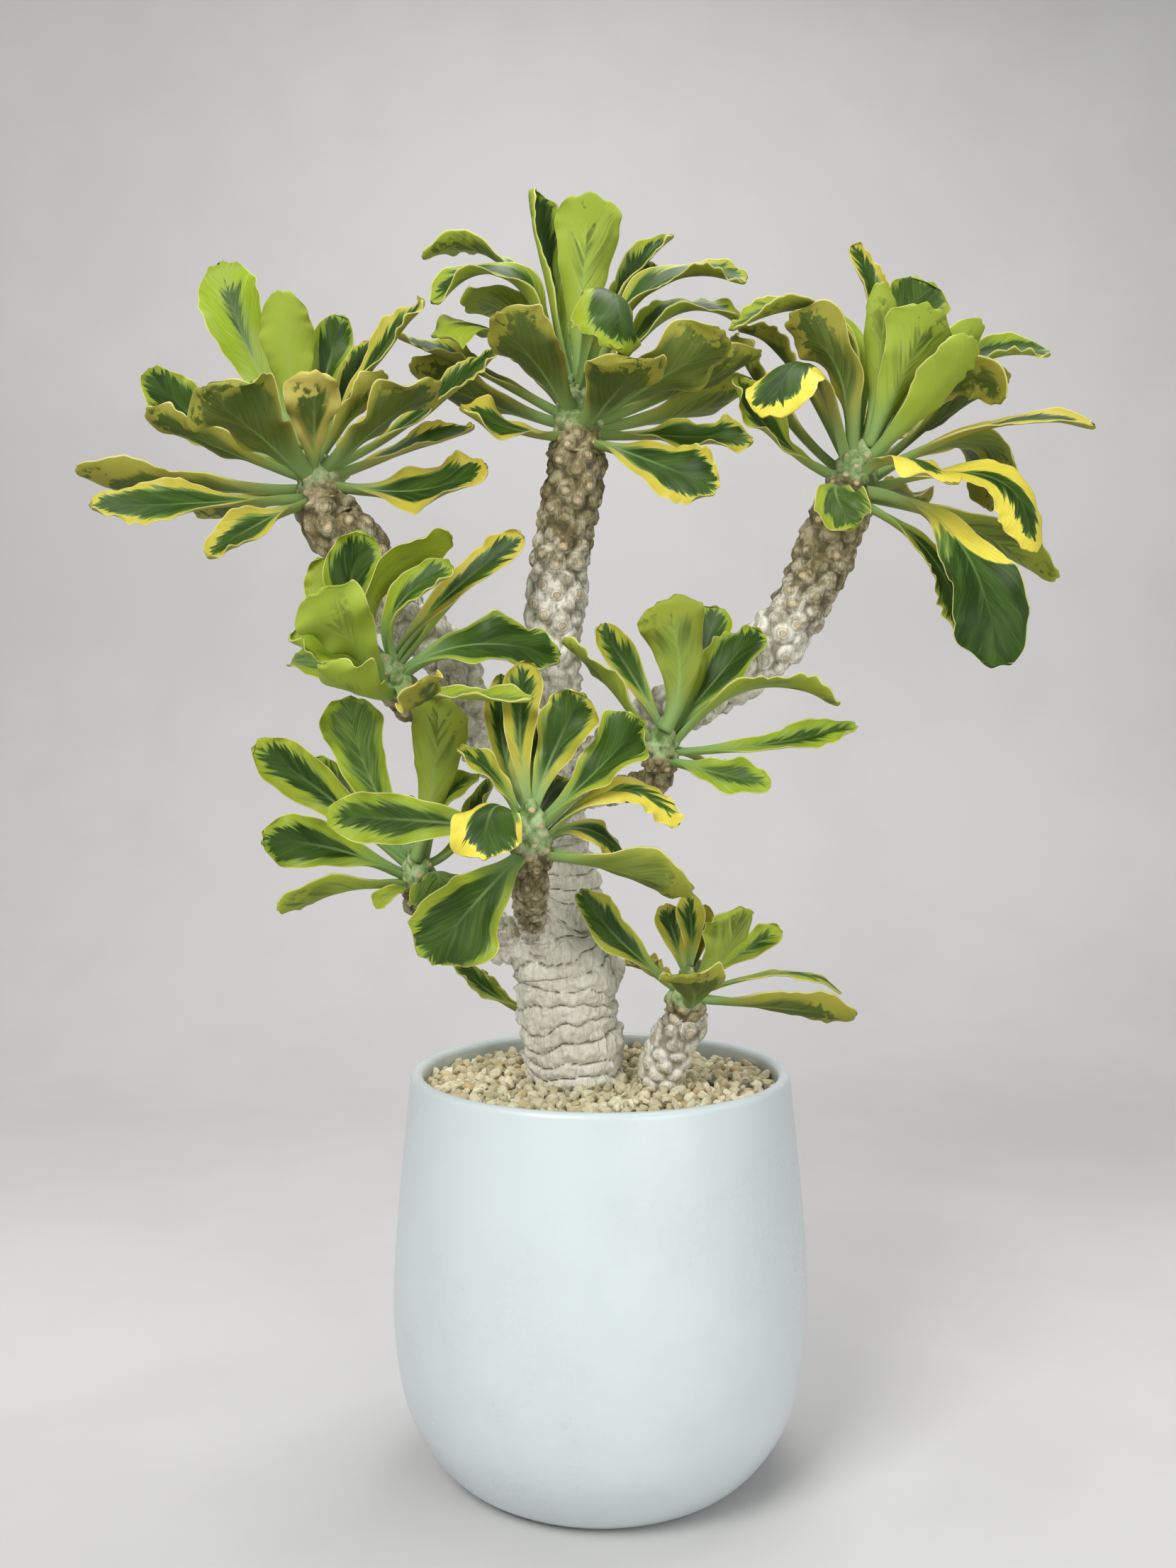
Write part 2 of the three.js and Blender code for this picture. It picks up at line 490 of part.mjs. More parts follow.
// A stem or branch along a smooth line through its points, with a radius at each point. Rows of points go
// round it, each row turned half a step from the last. With knobs, each point is a knob left by a fallen
// leaf, and the bark dips where three knobs meet. The knobs start a part "plain" of the way along.
function stem({ line, radii, sides, pitch, knobs = 0, seed = 1, plain = 0 }) {
  const draw = drawer(seed);
  const curve = new THREE.CatmullRomCurve3(line, false, "centripetal");
  const rows = Math.max(3, Math.round(curve.getLength() / pitch));
  const frames = curve.computeFrenetFrames(rows);
  const middles = [];
  const points = [];
  const faces = [];
  const knobAt = (part) => knobs * smooth(plain - 0.05, plain + 0.1, part);
  for (let row = 0; row <= rows; row += 1) {
    const part = row / rows;
    const middle = curve.getPointAt(part);
    const radius = radiusAlong(curve, radii, part);
    const isEnd = row === 0 || row === rows;
    middles.push(middle);
    for (let side = 0; side < sides; side += 1) {
      const angle = ((side + (row % 2) / 2) / sides) * 2 * Math.PI;
      const knob = isEnd ? 0 : knobAt(part) * (0.6 + 0.5 * draw());
      points.push(onRing(frames, row, middle, angle, radius + knob));
    }
  }
  const face = (a, b, c, row) => {
    const knob = knobAt((row + 0.5) / rows);
    if (row === 0 || row === rows - 1 || knob < 0.5 * knobs || knobs === 0) {
      faces.push(a, b, c);
      return;
    }
    const dip = points[a].clone().add(points[b]).add(points[c]).divideScalar(3);
    const middle = middles[row].clone().lerp(middles[row + 1], 0.5);
    dip.lerp(middle, (1.1 * knob) / dip.distanceTo(middle));
    points.push(dip);
    const d = points.length - 1;
    faces.push(a, b, d, b, c, d, c, a, d);
  };
  for (let row = 0; row < rows; row += 1) {
    for (let side = 0; side < sides; side += 1) {
      const next = (side + 1) % sides;
      const above = (side + (row % 2)) % sides;
      const beside = (above + sides - 1) % sides;
      face(row * sides + side, row * sides + next, (row + 1) * sides + above, row);
      face((row + 1) * sides + beside, row * sides + side, (row + 1) * sides + above, row);
    }
  }
  closeEnds(points, faces, middles, sides);
  return solid(fromPoints(points, faces));
}

// Radius a part of the way along a curve, from the radii at its own points
function radiusAlong(curve, radii, part) {
  const place = curve.getUtoTmapping(part) * (radii.length - 1);
  const low = Math.min(Math.floor(place), radii.length - 2);
  return mix(radii[low], radii[low + 1], place - low);
}

function onRing(frames, row, middle, angle, radius) {
  const across = frames.normals[row].clone().multiplyScalar(radius * Math.cos(angle));
  const along = frames.binormals[row].clone().multiplyScalar(radius * Math.sin(angle));
  return middle.clone().add(across).add(along);
}

function closeEnds(points, faces, middles, sides) {
  const lastRow = (middles.length - 1) * sides;
  points.push(middles[0], middles[middles.length - 1]);
  const start = points.length - 2;
  const end = points.length - 1;
  for (let side = 0; side < sides; side += 1) {
    const next = (side + 1) % sides;
    faces.push(start, next, side);
    faces.push(end, lastRow + side, lastRow + next);
  }
}

// The old trunk: stacked wavy ridges of bark
function ridgedTrunk() {
  const draw = drawer(23);
  const line = TRUNK_LINE.map((place) => new THREE.Vector3(...place));
  const curve = new THREE.CatmullRomCurve3(line, false, "centripetal");
  const rows = Math.round((2 * curve.getLength()) / RIDGE_PITCH);
  const frames = curve.computeFrenetFrames(rows);
  const middles = [];
  const points = [];
  const faces = [];
  for (let row = 0; row <= rows; row += 1) {
    const part = row / rows;
    const middle = curve.getPointAt(part);
    const isStart = row === 0;
    const ridge = isStart ? 0 : (row % 2 ? 0.5 : -0.5) * RIDGE_DEPTH;
    middles.push(middle);
    for (let side = 0; side < TRUNK_SIDES; side += 1) {
      const angle = (side / TRUNK_SIDES) * 2 * Math.PI;
      const rough = isStart ? 0 : BARK_ROUGHNESS * (draw() - 0.5);
      const wave = isStart ? 0 : BARK_WAVE * Math.sin(3 * angle + 0.7 * row);
      const lift = isStart ? 0 : RIDGE_LIFT * Math.sin(2 * angle + 1.1 * row);
      const radius = radiusAlong(curve, TRUNK_RADII, part) + ridge + wave + rough;
      points.push(onRing(frames, row, middle, angle, radius).addScaledVector(frames.tangents[row], lift));
    }
  }
  for (let row = 0; row < rows; row += 1) {
    for (let side = 0; side < TRUNK_SIDES; side += 1) {
      const a = row * TRUNK_SIDES + side;
      const b = row * TRUNK_SIDES + ((side + 1) % TRUNK_SIDES);
      faces.push(a, b, b + TRUNK_SIDES, a, b + TRUNK_SIDES, a + TRUNK_SIDES);
    }
  }
  closeEnds(points, faces, middles, TRUNK_SIDES);
  return solid(fromPoints(points, faces));
}

const growthOf = (rosette) => new THREE.Vector3(...rosette.grows).normalize();

// Where a branch ends: just under the growing tip of its rosette, in line with it
function branchEnd(rosette) {
  const down = growthOf(rosette).negate();
  const end = seen(rosette.at).addScaledVector(down, rosette.tip.below + GAP);
  return [end.clone().addScaledVector(down, rosette.tip.below / 2), end];
}

function branch({ line, radii, rosette, ...rest }) {
  return stem({ line: [...line.map(seen), ...branchEnd(ROSETTES[rosette])], radii, ...rest });
}

function trunkAndBranches() {
  let joined = ridgedTrunk().add(plug(TRUNK_PLUG, ROOT_BOTTOM, PLUG_TOP));
  BRANCHES.forEach((row) => {
    joined = joined.add(branch(row));
  });
  STUBS.forEach((row) => {
    joined = joined.add(stem({ ...row, line: row.line.map(seen) }));
  });
  return joined;
}

function sideStem() {
  return branch(SIDE_STEM).add(plug(SIDE_PLUG, ROOT_BOTTOM, PLUG_TOP));
}

// A leaf's centre line is a bow through its middle point. At each place along it there are the way the blade
// runs, the way its upper face looks and the way across it. The upper face starts towards the growing tip, is
// carried along the bow without twist, and then rolls.
function leafLine(rosette, [rootHeight, middle, tip, , , roll, side]) {
  const growth = growthOf(rosette);
  const centre = seen(rosette.at);
  const place = (point) => seen(rosette.at.map((value, i) => value + point[i]));
  const root = centre.clone().addScaledVector(growth, rootHeight);
  const through = place(middle);
  const end = place(tip);
  const turn = THREE.MathUtils.degToRad(side ?? 0);
  const sideOut = new THREE.Vector3(Math.sin(turn), -Math.cos(turn), 0);
  const out = side === null ? through.clone().sub(root) : sideOut;
  out.addScaledVector(growth, -out.dot(growth)).normalize();
  const { radius, top } = rosette.tip;
  const rootPart = THREE.MathUtils.clamp((rootHeight + 20) / 42, 0, 1);
  root.addScaledVector(out, 0.5 * mix(radius, 0.7 * top, rootPart));
  const pull = through.clone().multiplyScalar(2).sub(root.clone().add(end).multiplyScalar(0.5));
  const bow = new THREE.QuadraticBezierCurve3(root, pull, end);
  const spots = [];
  let length = 0;
  let upper = null;
  for (let i = 0; i <= LEAF_LINE_STEPS; i += 1) {
    const point = bow.getPoint(i / LEAF_LINE_STEPS);
    const along = bow.getTangent(i / LEAF_LINE_STEPS);
    if (i === 0) {
      const rise = Math.atan2(along.dot(out), along.dot(growth));
      upper = growth.clone().multiplyScalar(Math.sin(rise)).addScaledVector(out, -Math.cos(rise));
    } else {
      length += point.distanceTo(spots[i - 1].point);
    }
    upper = upper.clone().addScaledVector(along, -upper.dot(along)).normalize();
    spots.push({ point, upper, across: along.clone().cross(upper), reached: length });
  }
  const frontward = spots[LEAF_LINE_STEPS / 2].across.y < 0 ? 1 : -1;
  const fullRoll = frontward * THREE.MathUtils.degToRad(roll);
  return spots.map(({ point, upper: face, across, reached }) => {
    const part = reached / length;
    const angle = fullRoll * smooth(0, 0.6, part);
    const turned = face.clone().multiplyScalar(Math.cos(angle)).addScaledVector(across, Math.sin(angle));
    const sideways = across.clone().multiplyScalar(Math.cos(angle)).addScaledVector(face, -Math.sin(angle));
    return { part, point, upper: turned, across: sideways };
  });
}

function spotAt(line, part) {
  const i = Math.max(1, line.findIndex((spot) => spot.part >= part - 1e-9));
  const share = (part - line[i - 1].part) / (line[i].part - line[i - 1].part);
  return {
    point: line[i - 1].point.clone().lerp(line[i].point, share),
    upper: line[i - 1].upper.clone().lerp(line[i].upper, share).normalize(),
    across: line[i - 1].across.clone().lerp(line[i].across, share).normalize(),
  };
}

// Half the blade's width a part of the way along: a narrow stalk that opens like a wedge, widest past the
// middle, and a round end
function halfWidth(width, widest, part) {
  const straight = THREE.MathUtils.clamp((part - 0.1) / (widest - 0.1), 0, 1);
  const opening = mix(STALK_SHARE, 1, 0.5 * straight + 0.5 * smooth(0.12, widest, part));
  const past = Math.max(part - widest, 0) / (1.02 - widest);
  return (width / 2) * opening * Math.sqrt(Math.max(1 - past ** 2.4, 0.04));
}

// A leaf is a closed blade: six points at each station, three above and three below, thick along its middle
// and thin at its waved margins
function leaf(rosette, row, draw) {
  const [, , , width, fold, , , widest] = row;
  const line = leafLine(rosette, row);
  const bend = THREE.MathUtils.degToRad(Math.abs(fold) > 1 ? fold : 1);
  const waves = { count: 1.6 + 1.4 * draw(), left: draw(), right: draw() };
  const waveHeight = WAVE_HEIGHT * (0.6 + 0.8 * draw());
  const size = Math.sqrt(width / COMMON_WIDTH);
  const stations = [0, 0.55 * widest, widest, mix(widest, 1, 0.6), 1];
  const points = [];
  const faces = [];
  stations.forEach((part) => {
    const spot = spotAt(line, part);
    const half = halfWidth(width, widest, part);
    const middleThickness = size * mix(STALK_THICKNESS, BLADE_THICKNESS, smooth(0.05, 0.5, part));
    const ripple = half * waveHeight * smooth(0.25, 0.5, part);
    const lower = [];
    for (const u of [-1, 0, 1]) {
      const phase = u < 0 ? waves.left : waves.right;
      const wave = u * u * ripple * Math.sin(2 * Math.PI * (waves.count * part + phase));
      const sideways = (half * Math.sin(bend * u)) / bend;
      const raised = (half * (1 - Math.cos(bend * u))) / bend + wave;
      const top = spot.point.clone().addScaledVector(spot.across, sideways);
      top.addScaledVector(spot.upper, raised);
      const thickness = mix(middleThickness, EDGE_THICKNESS, u * u);
      const inward = spot.upper.clone().multiplyScalar(-Math.cos(bend * u) * thickness);
      inward.addScaledVector(spot.across, Math.sin(bend * u) * thickness);
      points.push(top);
      lower.push(top.clone().add(inward));
    }
    points.push(...lower);
  });
  for (let i = 0; i < stations.length - 1; i += 1) {
    const near = 6 * i;
    const far = near + 6;
    for (let u = 0; u < 2; u += 1) {
      faces.push(near + u, near + u + 1, far + u + 1, near + u, far + u + 1, far + u);
      faces.push(near + u + 3, far + u + 4, near + u + 4, near + u + 3, far + u + 3, far + u + 4);
    }
    faces.push(near, far, far + 3, near, far + 3, near + 3);
    faces.push(near + 2, near + 5, far + 5, near + 2, far + 5, far + 2);
  }
  const last = 6 * (stations.length - 1);
  faces.push(0, 3, 4, 0, 4, 1, 1, 4, 5, 1, 5, 2);
  faces.push(last, last + 4, last + 3, last, last + 1, last + 4);
  faces.push(last + 1, last + 5, last + 4, last + 1, last + 2, last + 5);
  return solid(fromPoints(points, faces));
}

// The growing tip that a rosette's leaves stand on
function growingTip(rosette) {
  const growth = growthOf(rosette);
  const centre = seen(rosette.at);
  const { radius, top, below, above } = rosette.tip;
  const heights = [-below, -below / 3, above / 3, above];
  const line = heights.map((height) => centre.clone().addScaledVector(growth, height));
  const radii = [radius, mix(radius, top, 0.25), mix(radius, top, 0.7), 0.35 * top];
  return stem({ line, radii, sides: 6, pitch: 22 });
}

function rosetteSolid(name) {
  const rosette = ROSETTES[name];
  const draw = drawer(rosette.seed);
  let joined = growingTip(rosette);
  rosette.leaves.forEach((row) => {
    joined = joined.add(leaf(rosette, row, draw));
  });
  return joined;
}

const BARK = { colour: 0xa9a593, roughness: 0.9 };
const LEAF = { colour: 0x74892f, roughness: 0.35 };

const plant = new THREE.Group();
plant.add(pot(), pottingMix(), pumice());
plant.add(meshOf(trunkAndBranches(), "trunk_and_branches", BARK.colour, BARK.roughness));
plant.add(meshOf(sideStem(), "side_stem", BARK.colour, BARK.roughness));
Object.keys(ROSETTES).forEach((name) => {
  plant.add(meshOf(rosetteSolid(name), name, LEAF.colour, LEAF.roughness));
});

export default plant;
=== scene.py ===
# %% [markdown]
# # A potted variegated Euphorbia poissonii
# An old, branched succulent stands with a smaller second one in a round white pot. The stems, the gravel, the
# pot and every rosette already exist as plain solids in millimetres. This lesson dresses each of them: it
# makes a finer surface with the same form in the same place, and gives it a finish worked out from formulas.

import bpy
import numpy as np
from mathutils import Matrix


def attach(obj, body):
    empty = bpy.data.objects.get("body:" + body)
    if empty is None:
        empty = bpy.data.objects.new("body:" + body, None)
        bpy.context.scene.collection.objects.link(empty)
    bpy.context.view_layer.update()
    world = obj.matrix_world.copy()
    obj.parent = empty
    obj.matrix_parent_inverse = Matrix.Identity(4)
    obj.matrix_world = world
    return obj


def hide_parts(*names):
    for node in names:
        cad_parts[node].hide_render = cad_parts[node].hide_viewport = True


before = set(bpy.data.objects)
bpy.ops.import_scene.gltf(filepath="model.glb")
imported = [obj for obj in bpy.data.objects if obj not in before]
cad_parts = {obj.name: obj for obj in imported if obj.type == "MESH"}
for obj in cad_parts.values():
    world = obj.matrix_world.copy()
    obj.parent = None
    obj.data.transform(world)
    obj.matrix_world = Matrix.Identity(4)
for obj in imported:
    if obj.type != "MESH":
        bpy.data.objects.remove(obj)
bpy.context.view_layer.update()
MM = 0.001
print("CAD nodes:", ", ".join(sorted(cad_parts)))

# %% [markdown]
# ## The camera
# The plant is seen from about its middle height, from just under a metre away, looking down by a degree and a
# half. The lens is stated for a 36 mm sensor along the picture's long side. The camera comes first, because
# the leaves are placed as it sees them.

# %% Camera
EYE = np.array([-7.9, -936.0, 457.0])
PITCH_DOWN = np.radians(1.5)
LENS = 33.93
SENSOR = 36.0

camera_data = bpy.data.cameras.new("camera")
camera_data.lens = LENS
camera_data.sensor_width = SENSOR
camera = bpy.data.objects.new("camera", camera_data)
camera.location = EYE * MM
camera.rotation_euler = (np.pi / 2 - PITCH_DOWN, 0, 0)
bpy.context.scene.collection.objects.link(camera)
bpy.context.scene.camera = camera
print("camera at", np.round(EYE), "mm")

# %% [markdown]
# ## Meshes from arrays
# Every new piece is a surface that numpy works out as whole arrays of points. A few helpers put such arrays
# into a mesh, number the corners of a grid of points, and close the ends of a tube.

# %% Mesh helpers
def mesh_object(name, points, quads, triangles=None, smooth=True):
    """An object at the origin from points in millimetres and arrays of corner numbers, faces facing out."""
    triangles = np.zeros((0, 3), int) if triangles is None else triangles
    corners = np.concatenate([quads.ravel(), triangles.ravel()])
    starts = np.concatenate([4 * np.arange(len(quads)), 4 * len(quads) + 3 * np.arange(len(triangles))])
    mesh = bpy.data.meshes.new(name)
    mesh.vertices.add(len(points))
    mesh.vertices.foreach_set("co", (points * MM).astype(np.float32).ravel())
    mesh.loops.add(len(corners))
    mesh.loops.foreach_set("vertex_index", corners.astype(np.int32))
    mesh.polygons.add(len(starts))
    mesh.polygons.foreach_set("loop_start", starts.astype(np.int32))
    mesh.polygons.foreach_set("use_smooth", np.full(len(starts), smooth))
    mesh.update(calc_edges=True)
    mesh.validate()
    thing = bpy.data.objects.new(name, mesh)
    bpy.context.scene.collection.objects.link(thing)
    return thing


def grid_quads(rows, columns, wrap):
    """Corner numbers of a grid of points, row by row. With wrap, the last column joins the first."""
    row, column = np.meshgrid(np.arange(rows - 1), np.arange(columns if wrap else columns - 1), indexing="ij")
    here = row * columns + column
    beside = row * columns + (column + 1) % columns
    return np.stack([here, beside, beside + columns, here + columns], -1).reshape(-1, 4)


def closed_tube(rings):
    """A tube through rings of points, each end closed by a fan to its middle: points, quads and triangles."""
    rows, columns = rings.shape[:2]
    count = rows * columns
    last = count - columns
    points = np.vstack([rings.reshape(-1, 3), rings[0].mean(0), rings[-1].mean(0)])
    column = np.arange(columns)
    beside = (column + 1) % columns
    low = np.stack([np.full(columns, count), beside, column], -1)
    high = np.stack([np.full(columns, count + 1), last + column, last + beside], -1)
    return points, grid_quads(rows, columns, True), np.vstack([low, high])


def add_attribute(thing, name, values):
    """Numbers for each point of the mesh, one or three of them, for a material to read."""
    values = np.asarray(values, np.float32)
    kind, key = ("FLOAT", "value") if values.ndim == 1 else ("FLOAT_VECTOR", "vector")
    thing.data.attributes.new(name, kind, "POINT").data.foreach_set(key, values.ravel())


print("mesh helpers ready")

# %% Small measures
def smooth_step(low, high, value):
    """0 below low, 1 above high, and an S-shaped rise between them."""
    part = np.clip((value - low) / (high - low), 0, 1)
    return part * part * (3 - 2 * part)


def blend(low, high, share):
    """The value that lies share of the way from low to high."""
    return low + (high - low) * share


def unit(vectors):
    """Each vector, made 1 long."""
    return vectors / np.linalg.norm(vectors, axis=-1, keepdims=True)


def smooth_line(points, parts):
    """A centripetal Catmull-Rom curve through the points, at parameters from 0 to 1 spread evenly over its
    knots."""
    points = np.asarray(points, float)
    padded = np.vstack([2 * points[0] - points[1], points, 2 * points[-1] - points[-2]])
    place = np.clip(np.asarray(parts, float), 0, 1) * (len(points) - 1)
    low = np.minimum(place.astype(int), len(points) - 2)
    t = (place - low)[:, None]
    p0, p1, p2, p3 = (padded[low + i] for i in range(4))
    d0, d1, d2 = (np.sqrt(np.linalg.norm(b - a, axis=1))[:, None] for a, b in ((p0, p1), (p1, p2), (p2, p3)))
    start = ((p1 - p0) / d0 - (p2 - p0) / (d0 + d1) + (p2 - p1) / d1) * d1
    end = ((p2 - p1) / d1 - (p3 - p1) / (d1 + d2) + (p3 - p2) / d2) * d1
    cubic = 2 * p1 - 2 * p2 + start + end
    square = -3 * p1 + 3 * p2 - 2 * start - end
    return ((cubic * t + square) * t + start) * t + p1


print("measures ready")

# %% [markdown]
# ## The stage and the light
# A pale sheet runs along the floor and bends up behind the plant, as in a photographer's sweep, so no edge
# shows. Big soft lamps give the even light of a bright room: one high at the left front, a weaker one at the
# right, and one above. They are far larger than the leaves, so the gloss on the leaves and the glaze is broad
# and gentle.

# %% Sweep
SWEEP_WIDTH = 6000.0
SWEEP_FRONT = -2500.0
SWEEP_BEND_START = 900.0
SWEEP_BEND = 700.0
SWEEP_HEIGHT = 3500.0
SWEEP_BEND_STEPS = 25


def make_sweep():
    """Profile: flat floor, a quarter circle of radius SWEEP_BEND, then a wall. It is carried straight along
    X."""
    turn = np.linspace(0, np.pi / 2, SWEEP_BEND_STEPS)
    back = SWEEP_BEND_START + SWEEP_BEND
    depth = np.concatenate([[SWEEP_FRONT], SWEEP_BEND_START + SWEEP_BEND * np.sin(turn), [back]])
    height = np.concatenate([[0], SWEEP_BEND * (1 - np.cos(turn)), [SWEEP_HEIGHT]])
    across = np.linspace(-SWEEP_WIDTH / 2, SWEEP_WIDTH / 2, 3)
    points = np.stack(np.broadcast_arrays(across[None, :], depth[:, None], height[:, None]), -1)
    return mesh_object("sweep", points.reshape(-1, 3), grid_quads(len(depth), len(across), False))


sweep = make_sweep()
print("sweep:", len(sweep.data.polygons), "faces")

# %% Lamps and room
LOOK_AT = np.array([0.0, 0.0, 430.0])
# For each lamp: where it hangs and how wide it is in mm, and its power in watts
LAMPS = {
    "key_lamp": ((-900, -1500, 1700), 900, 36),
    "fill_lamp": ((1100, -1700, 800), 1400, 16),
    "top_lamp": ((200, 300, 2100), 1100, 22),
}
ROOM_COLOUR = (0.93, 0.96, 1.0, 1)
ROOM_STRENGTH = 0.28


def soft_lamp(name, place, width, power):
    """A square lamp, turned to the middle of the plant."""
    lamp = bpy.data.lights.new(name, "AREA")
    lamp.size = width * MM
    lamp.energy = power
    thing = bpy.data.objects.new(name, lamp)
    away = np.array(place, float) - LOOK_AT
    flat = np.hypot(away[0], away[1])
    thing.location = np.array(place) * MM
    thing.rotation_euler = (np.arctan2(flat, away[2]), 0, np.arctan2(away[1], away[0]) + np.pi / 2)
    bpy.context.scene.collection.objects.link(thing)


for name, (place, width, power) in LAMPS.items():
    soft_lamp(name, place, width, power)
room = bpy.data.worlds.new("room")
room.use_nodes = True
room.node_tree.nodes["Background"].inputs["Color"].default_value = ROOM_COLOUR
room.node_tree.nodes["Background"].inputs["Strength"].default_value = ROOM_STRENGTH
bpy.context.scene.world = room
bpy.context.scene.view_settings.view_transform = "Standard"
print("lamps:", ", ".join(LAMPS))

# %% [markdown]
# ## Helpers for materials
# Every finish is a node tree. A short helper adds a node and links or sets its inputs, so that each material
# reads as a list of steps. Patterns that more than one finish uses are node groups.

# %% Node helpers
def feed(tree, socket, value):
    """Links a node's input to another node's output, or sets it to a plain value."""
    if isinstance(value, bpy.types.NodeSocket):
        tree.links.new(value, socket)
    else:
        socket.default_value = value


def node(tree, kind, inputs=(), **settings):
    """Adds a node to a tree. inputs maps an input's name or number to what feeds it."""
    made = tree.nodes.new(kind)
    for key, value in settings.items():
        setattr(made, key, value)
    for key, value in dict(inputs).items():
        feed(tree, made.inputs[key], value)
    return made


def maths(tree, operation, a, b=0.0):
    return node(tree, "ShaderNodeMath", {0: a, 1: b}, operation=operation).outputs[0]


def times(tree, first, second):
    return maths(tree, "MULTIPLY", first, second)


def plus(tree, first, second, share=1.0):
    """first + second * share."""
    return node(tree, "ShaderNodeMath", {0: second, 1: share, 2: first}, operation="MULTIPLY_ADD").outputs[0]


def ramp(tree, value, low, high, start=0.0, end=1.0):
    """A smooth rise from start to end while value goes from low to high."""
    inputs = {"Value": value, "From Min": low, "From Max": high, "To Min": start, "To Max": end}
    return node(tree, "ShaderNodeMapRange", inputs, interpolation_type="SMOOTHSTEP").outputs["Result"]


def mixed(tree, share, first, second):
    """Colour between first and second. Either may be a socket or (red, green, blue). For colours, the Mix
    node's inputs are numbers 6 and 7, and its result is output 2."""
    first, second = (c if isinstance(c, bpy.types.NodeSocket) else (*c, 1) for c in (first, second))
    return node(tree, "ShaderNodeMix", {0: share, 6: first, 7: second}, data_type="RGBA").outputs[2]


def noise(tree, place, scale, detail=2.0, roughness=0.5):
    inputs = {"Vector": place, "Scale": scale, "Detail": detail, "Roughness": roughness}
    return node(tree, "ShaderNodeTexNoise", inputs).outputs["Fac"]


def scaled(tree, place, scale):
    """A place, stretched by a factor along each axis."""
    return node(tree, "ShaderNodeVectorMath", {0: place, 1: scale}, operation="MULTIPLY").outputs[0]


def attribute(tree, name, output="Vector"):
    return node(tree, "ShaderNodeAttribute", attribute_name=name).outputs[output]


def parts_of(tree, vector):
    return node(tree, "ShaderNodeSeparateXYZ", {0: vector}).outputs


def object_place(tree):
    return node(tree, "ShaderNodeTexCoord").outputs["Object"]


def bump(tree, height, distance, strength=1.0):
    """A normal tilted by a height. distance is the relief in metres for a height of 1."""
    inputs = {"Height": height, "Distance": distance, "Strength": strength}
    return node(tree, "ShaderNodeBump", inputs).outputs["Normal"]


def colour(code):
    """A colour from six hexadecimal digits, as the linear red, green and blue that shaders take."""
    parts = np.array([int(code[i:i + 2], 16) for i in (0, 2, 4)]) / 255
    return tuple(np.where(parts < 0.04045, parts / 12.92, ((parts + 0.055) / 1.055) ** 2.4))


print("node helpers ready")

# %% Material and group helpers
def new_material(name):
    """A material with one Principled BSDF: the material, its node tree and that shader node."""
    material = bpy.data.materials.new(name)
    material.use_nodes = True
    return material, material.node_tree, material.node_tree.nodes["Principled BSDF"]


def shade(tree, shader, color, roughness, normal=None, **plain):
    """Feeds colour, roughness and normal to the shader, and sets its plain values by name."""
    feed(tree, shader.inputs["Base Color"], color)
    feed(tree, shader.inputs["Roughness"], roughness)
    if normal is not None:
        feed(tree, shader.inputs["Normal"], normal)
    for key, value in plain.items():
        shader.inputs[key.replace("_", " ")].default_value = value


def node_group(name, inputs, outputs):
    """An empty shader node group, its given values and its results. inputs and outputs map names to Float,
    Vector or Color."""
    group = bpy.data.node_groups.new(name, "ShaderNodeTree")
    for side, sockets in (("INPUT", inputs), ("OUTPUT", outputs)):
        for key, kind in sockets.items():
            group.interface.new_socket(key, in_out=side, socket_type="NodeSocket" + kind)
    return group, group.nodes.new("NodeGroupInput").outputs, group.nodes.new("NodeGroupOutput").inputs


def grouped(tree, group, inputs):
    return node(tree, "ShaderNodeGroup", inputs, node_tree=group).outputs


print("material helpers ready")

# %% [markdown]
# ## A mottling that several finishes share
# Nothing here is one even colour: bark, glaze, pumice and leaf all vary a little from place to place. One
# group gives a soft cloudy mask at two sizes, from the object's own coordinates.

# %% Group: mottling
def make_mottling():
    """Mask = two noises of different sizes, mixed 3 to 2 and spread over 0 to 1."""
    group, given, out = node_group("mottling", {"Place": "Vector", "Scale": "Float"}, {"Mask": "Float"})
    large = noise(group, given["Place"], given["Scale"], 2)
    small = noise(group, given["Place"], times(group, given["Scale"], 4.3), 3)
    both = maths(group, "ADD", times(group, large, 0.6), times(group, small, 0.4))
    group.links.new(ramp(group, both, 0.38, 0.62), out["Mask"])
    return group


def mottled(tree, place, scale):
    return grouped(tree, MOTTLING, {"Place": place, "Scale": scale})["Mask"]


MOTTLING = make_mottling()
print("mottling group made")

# %% Sweep finish
paper, tree, shader = new_material("sweep_paper")
cloud = mottled(tree, object_place(tree), 2.0)
shade(tree, shader, mixed(tree, cloud, (0.60, 0.59, 0.575), (0.63, 0.62, 0.605)), 0.9)
sweep.data.materials.append(paper)
print("sweep finished")

# %% [markdown]
# ## The pot
# A round ceramic pot with an even pale glaze. It is thrown on a wheel, so it is one profile turned about its
# axis. The profile follows the CAD pot's named radii, smoothed to the curve that the potter's rib would
# leave. It runs over the round lip and down the inside to the floor.

# %% Turned solids
def turned(name, profile, sides):
    """A profile of (radius, height) turned about the Z axis, with a flat fan over each end."""
    angle = np.linspace(0, 2 * np.pi, sides, endpoint=False)
    ring = np.stack([np.cos(angle), np.sin(angle)], -1)
    level = np.broadcast_to(profile[:, None, 1:], (len(profile), sides, 1))
    rings = np.concatenate([profile[:, None, :1] * ring[None], level], -1)
    return mesh_object(name, *closed_tube(rings))


print("turned solids ready")

# %% Pot
POT_HEIGHT = 252.0
POT_WALL = 8.0
POT_FLOOR = 12.0
RIM_RADIUS = 120.0
FOOT_RINGS = (60.0, 83.0)
FOOT_EASE = 0.8
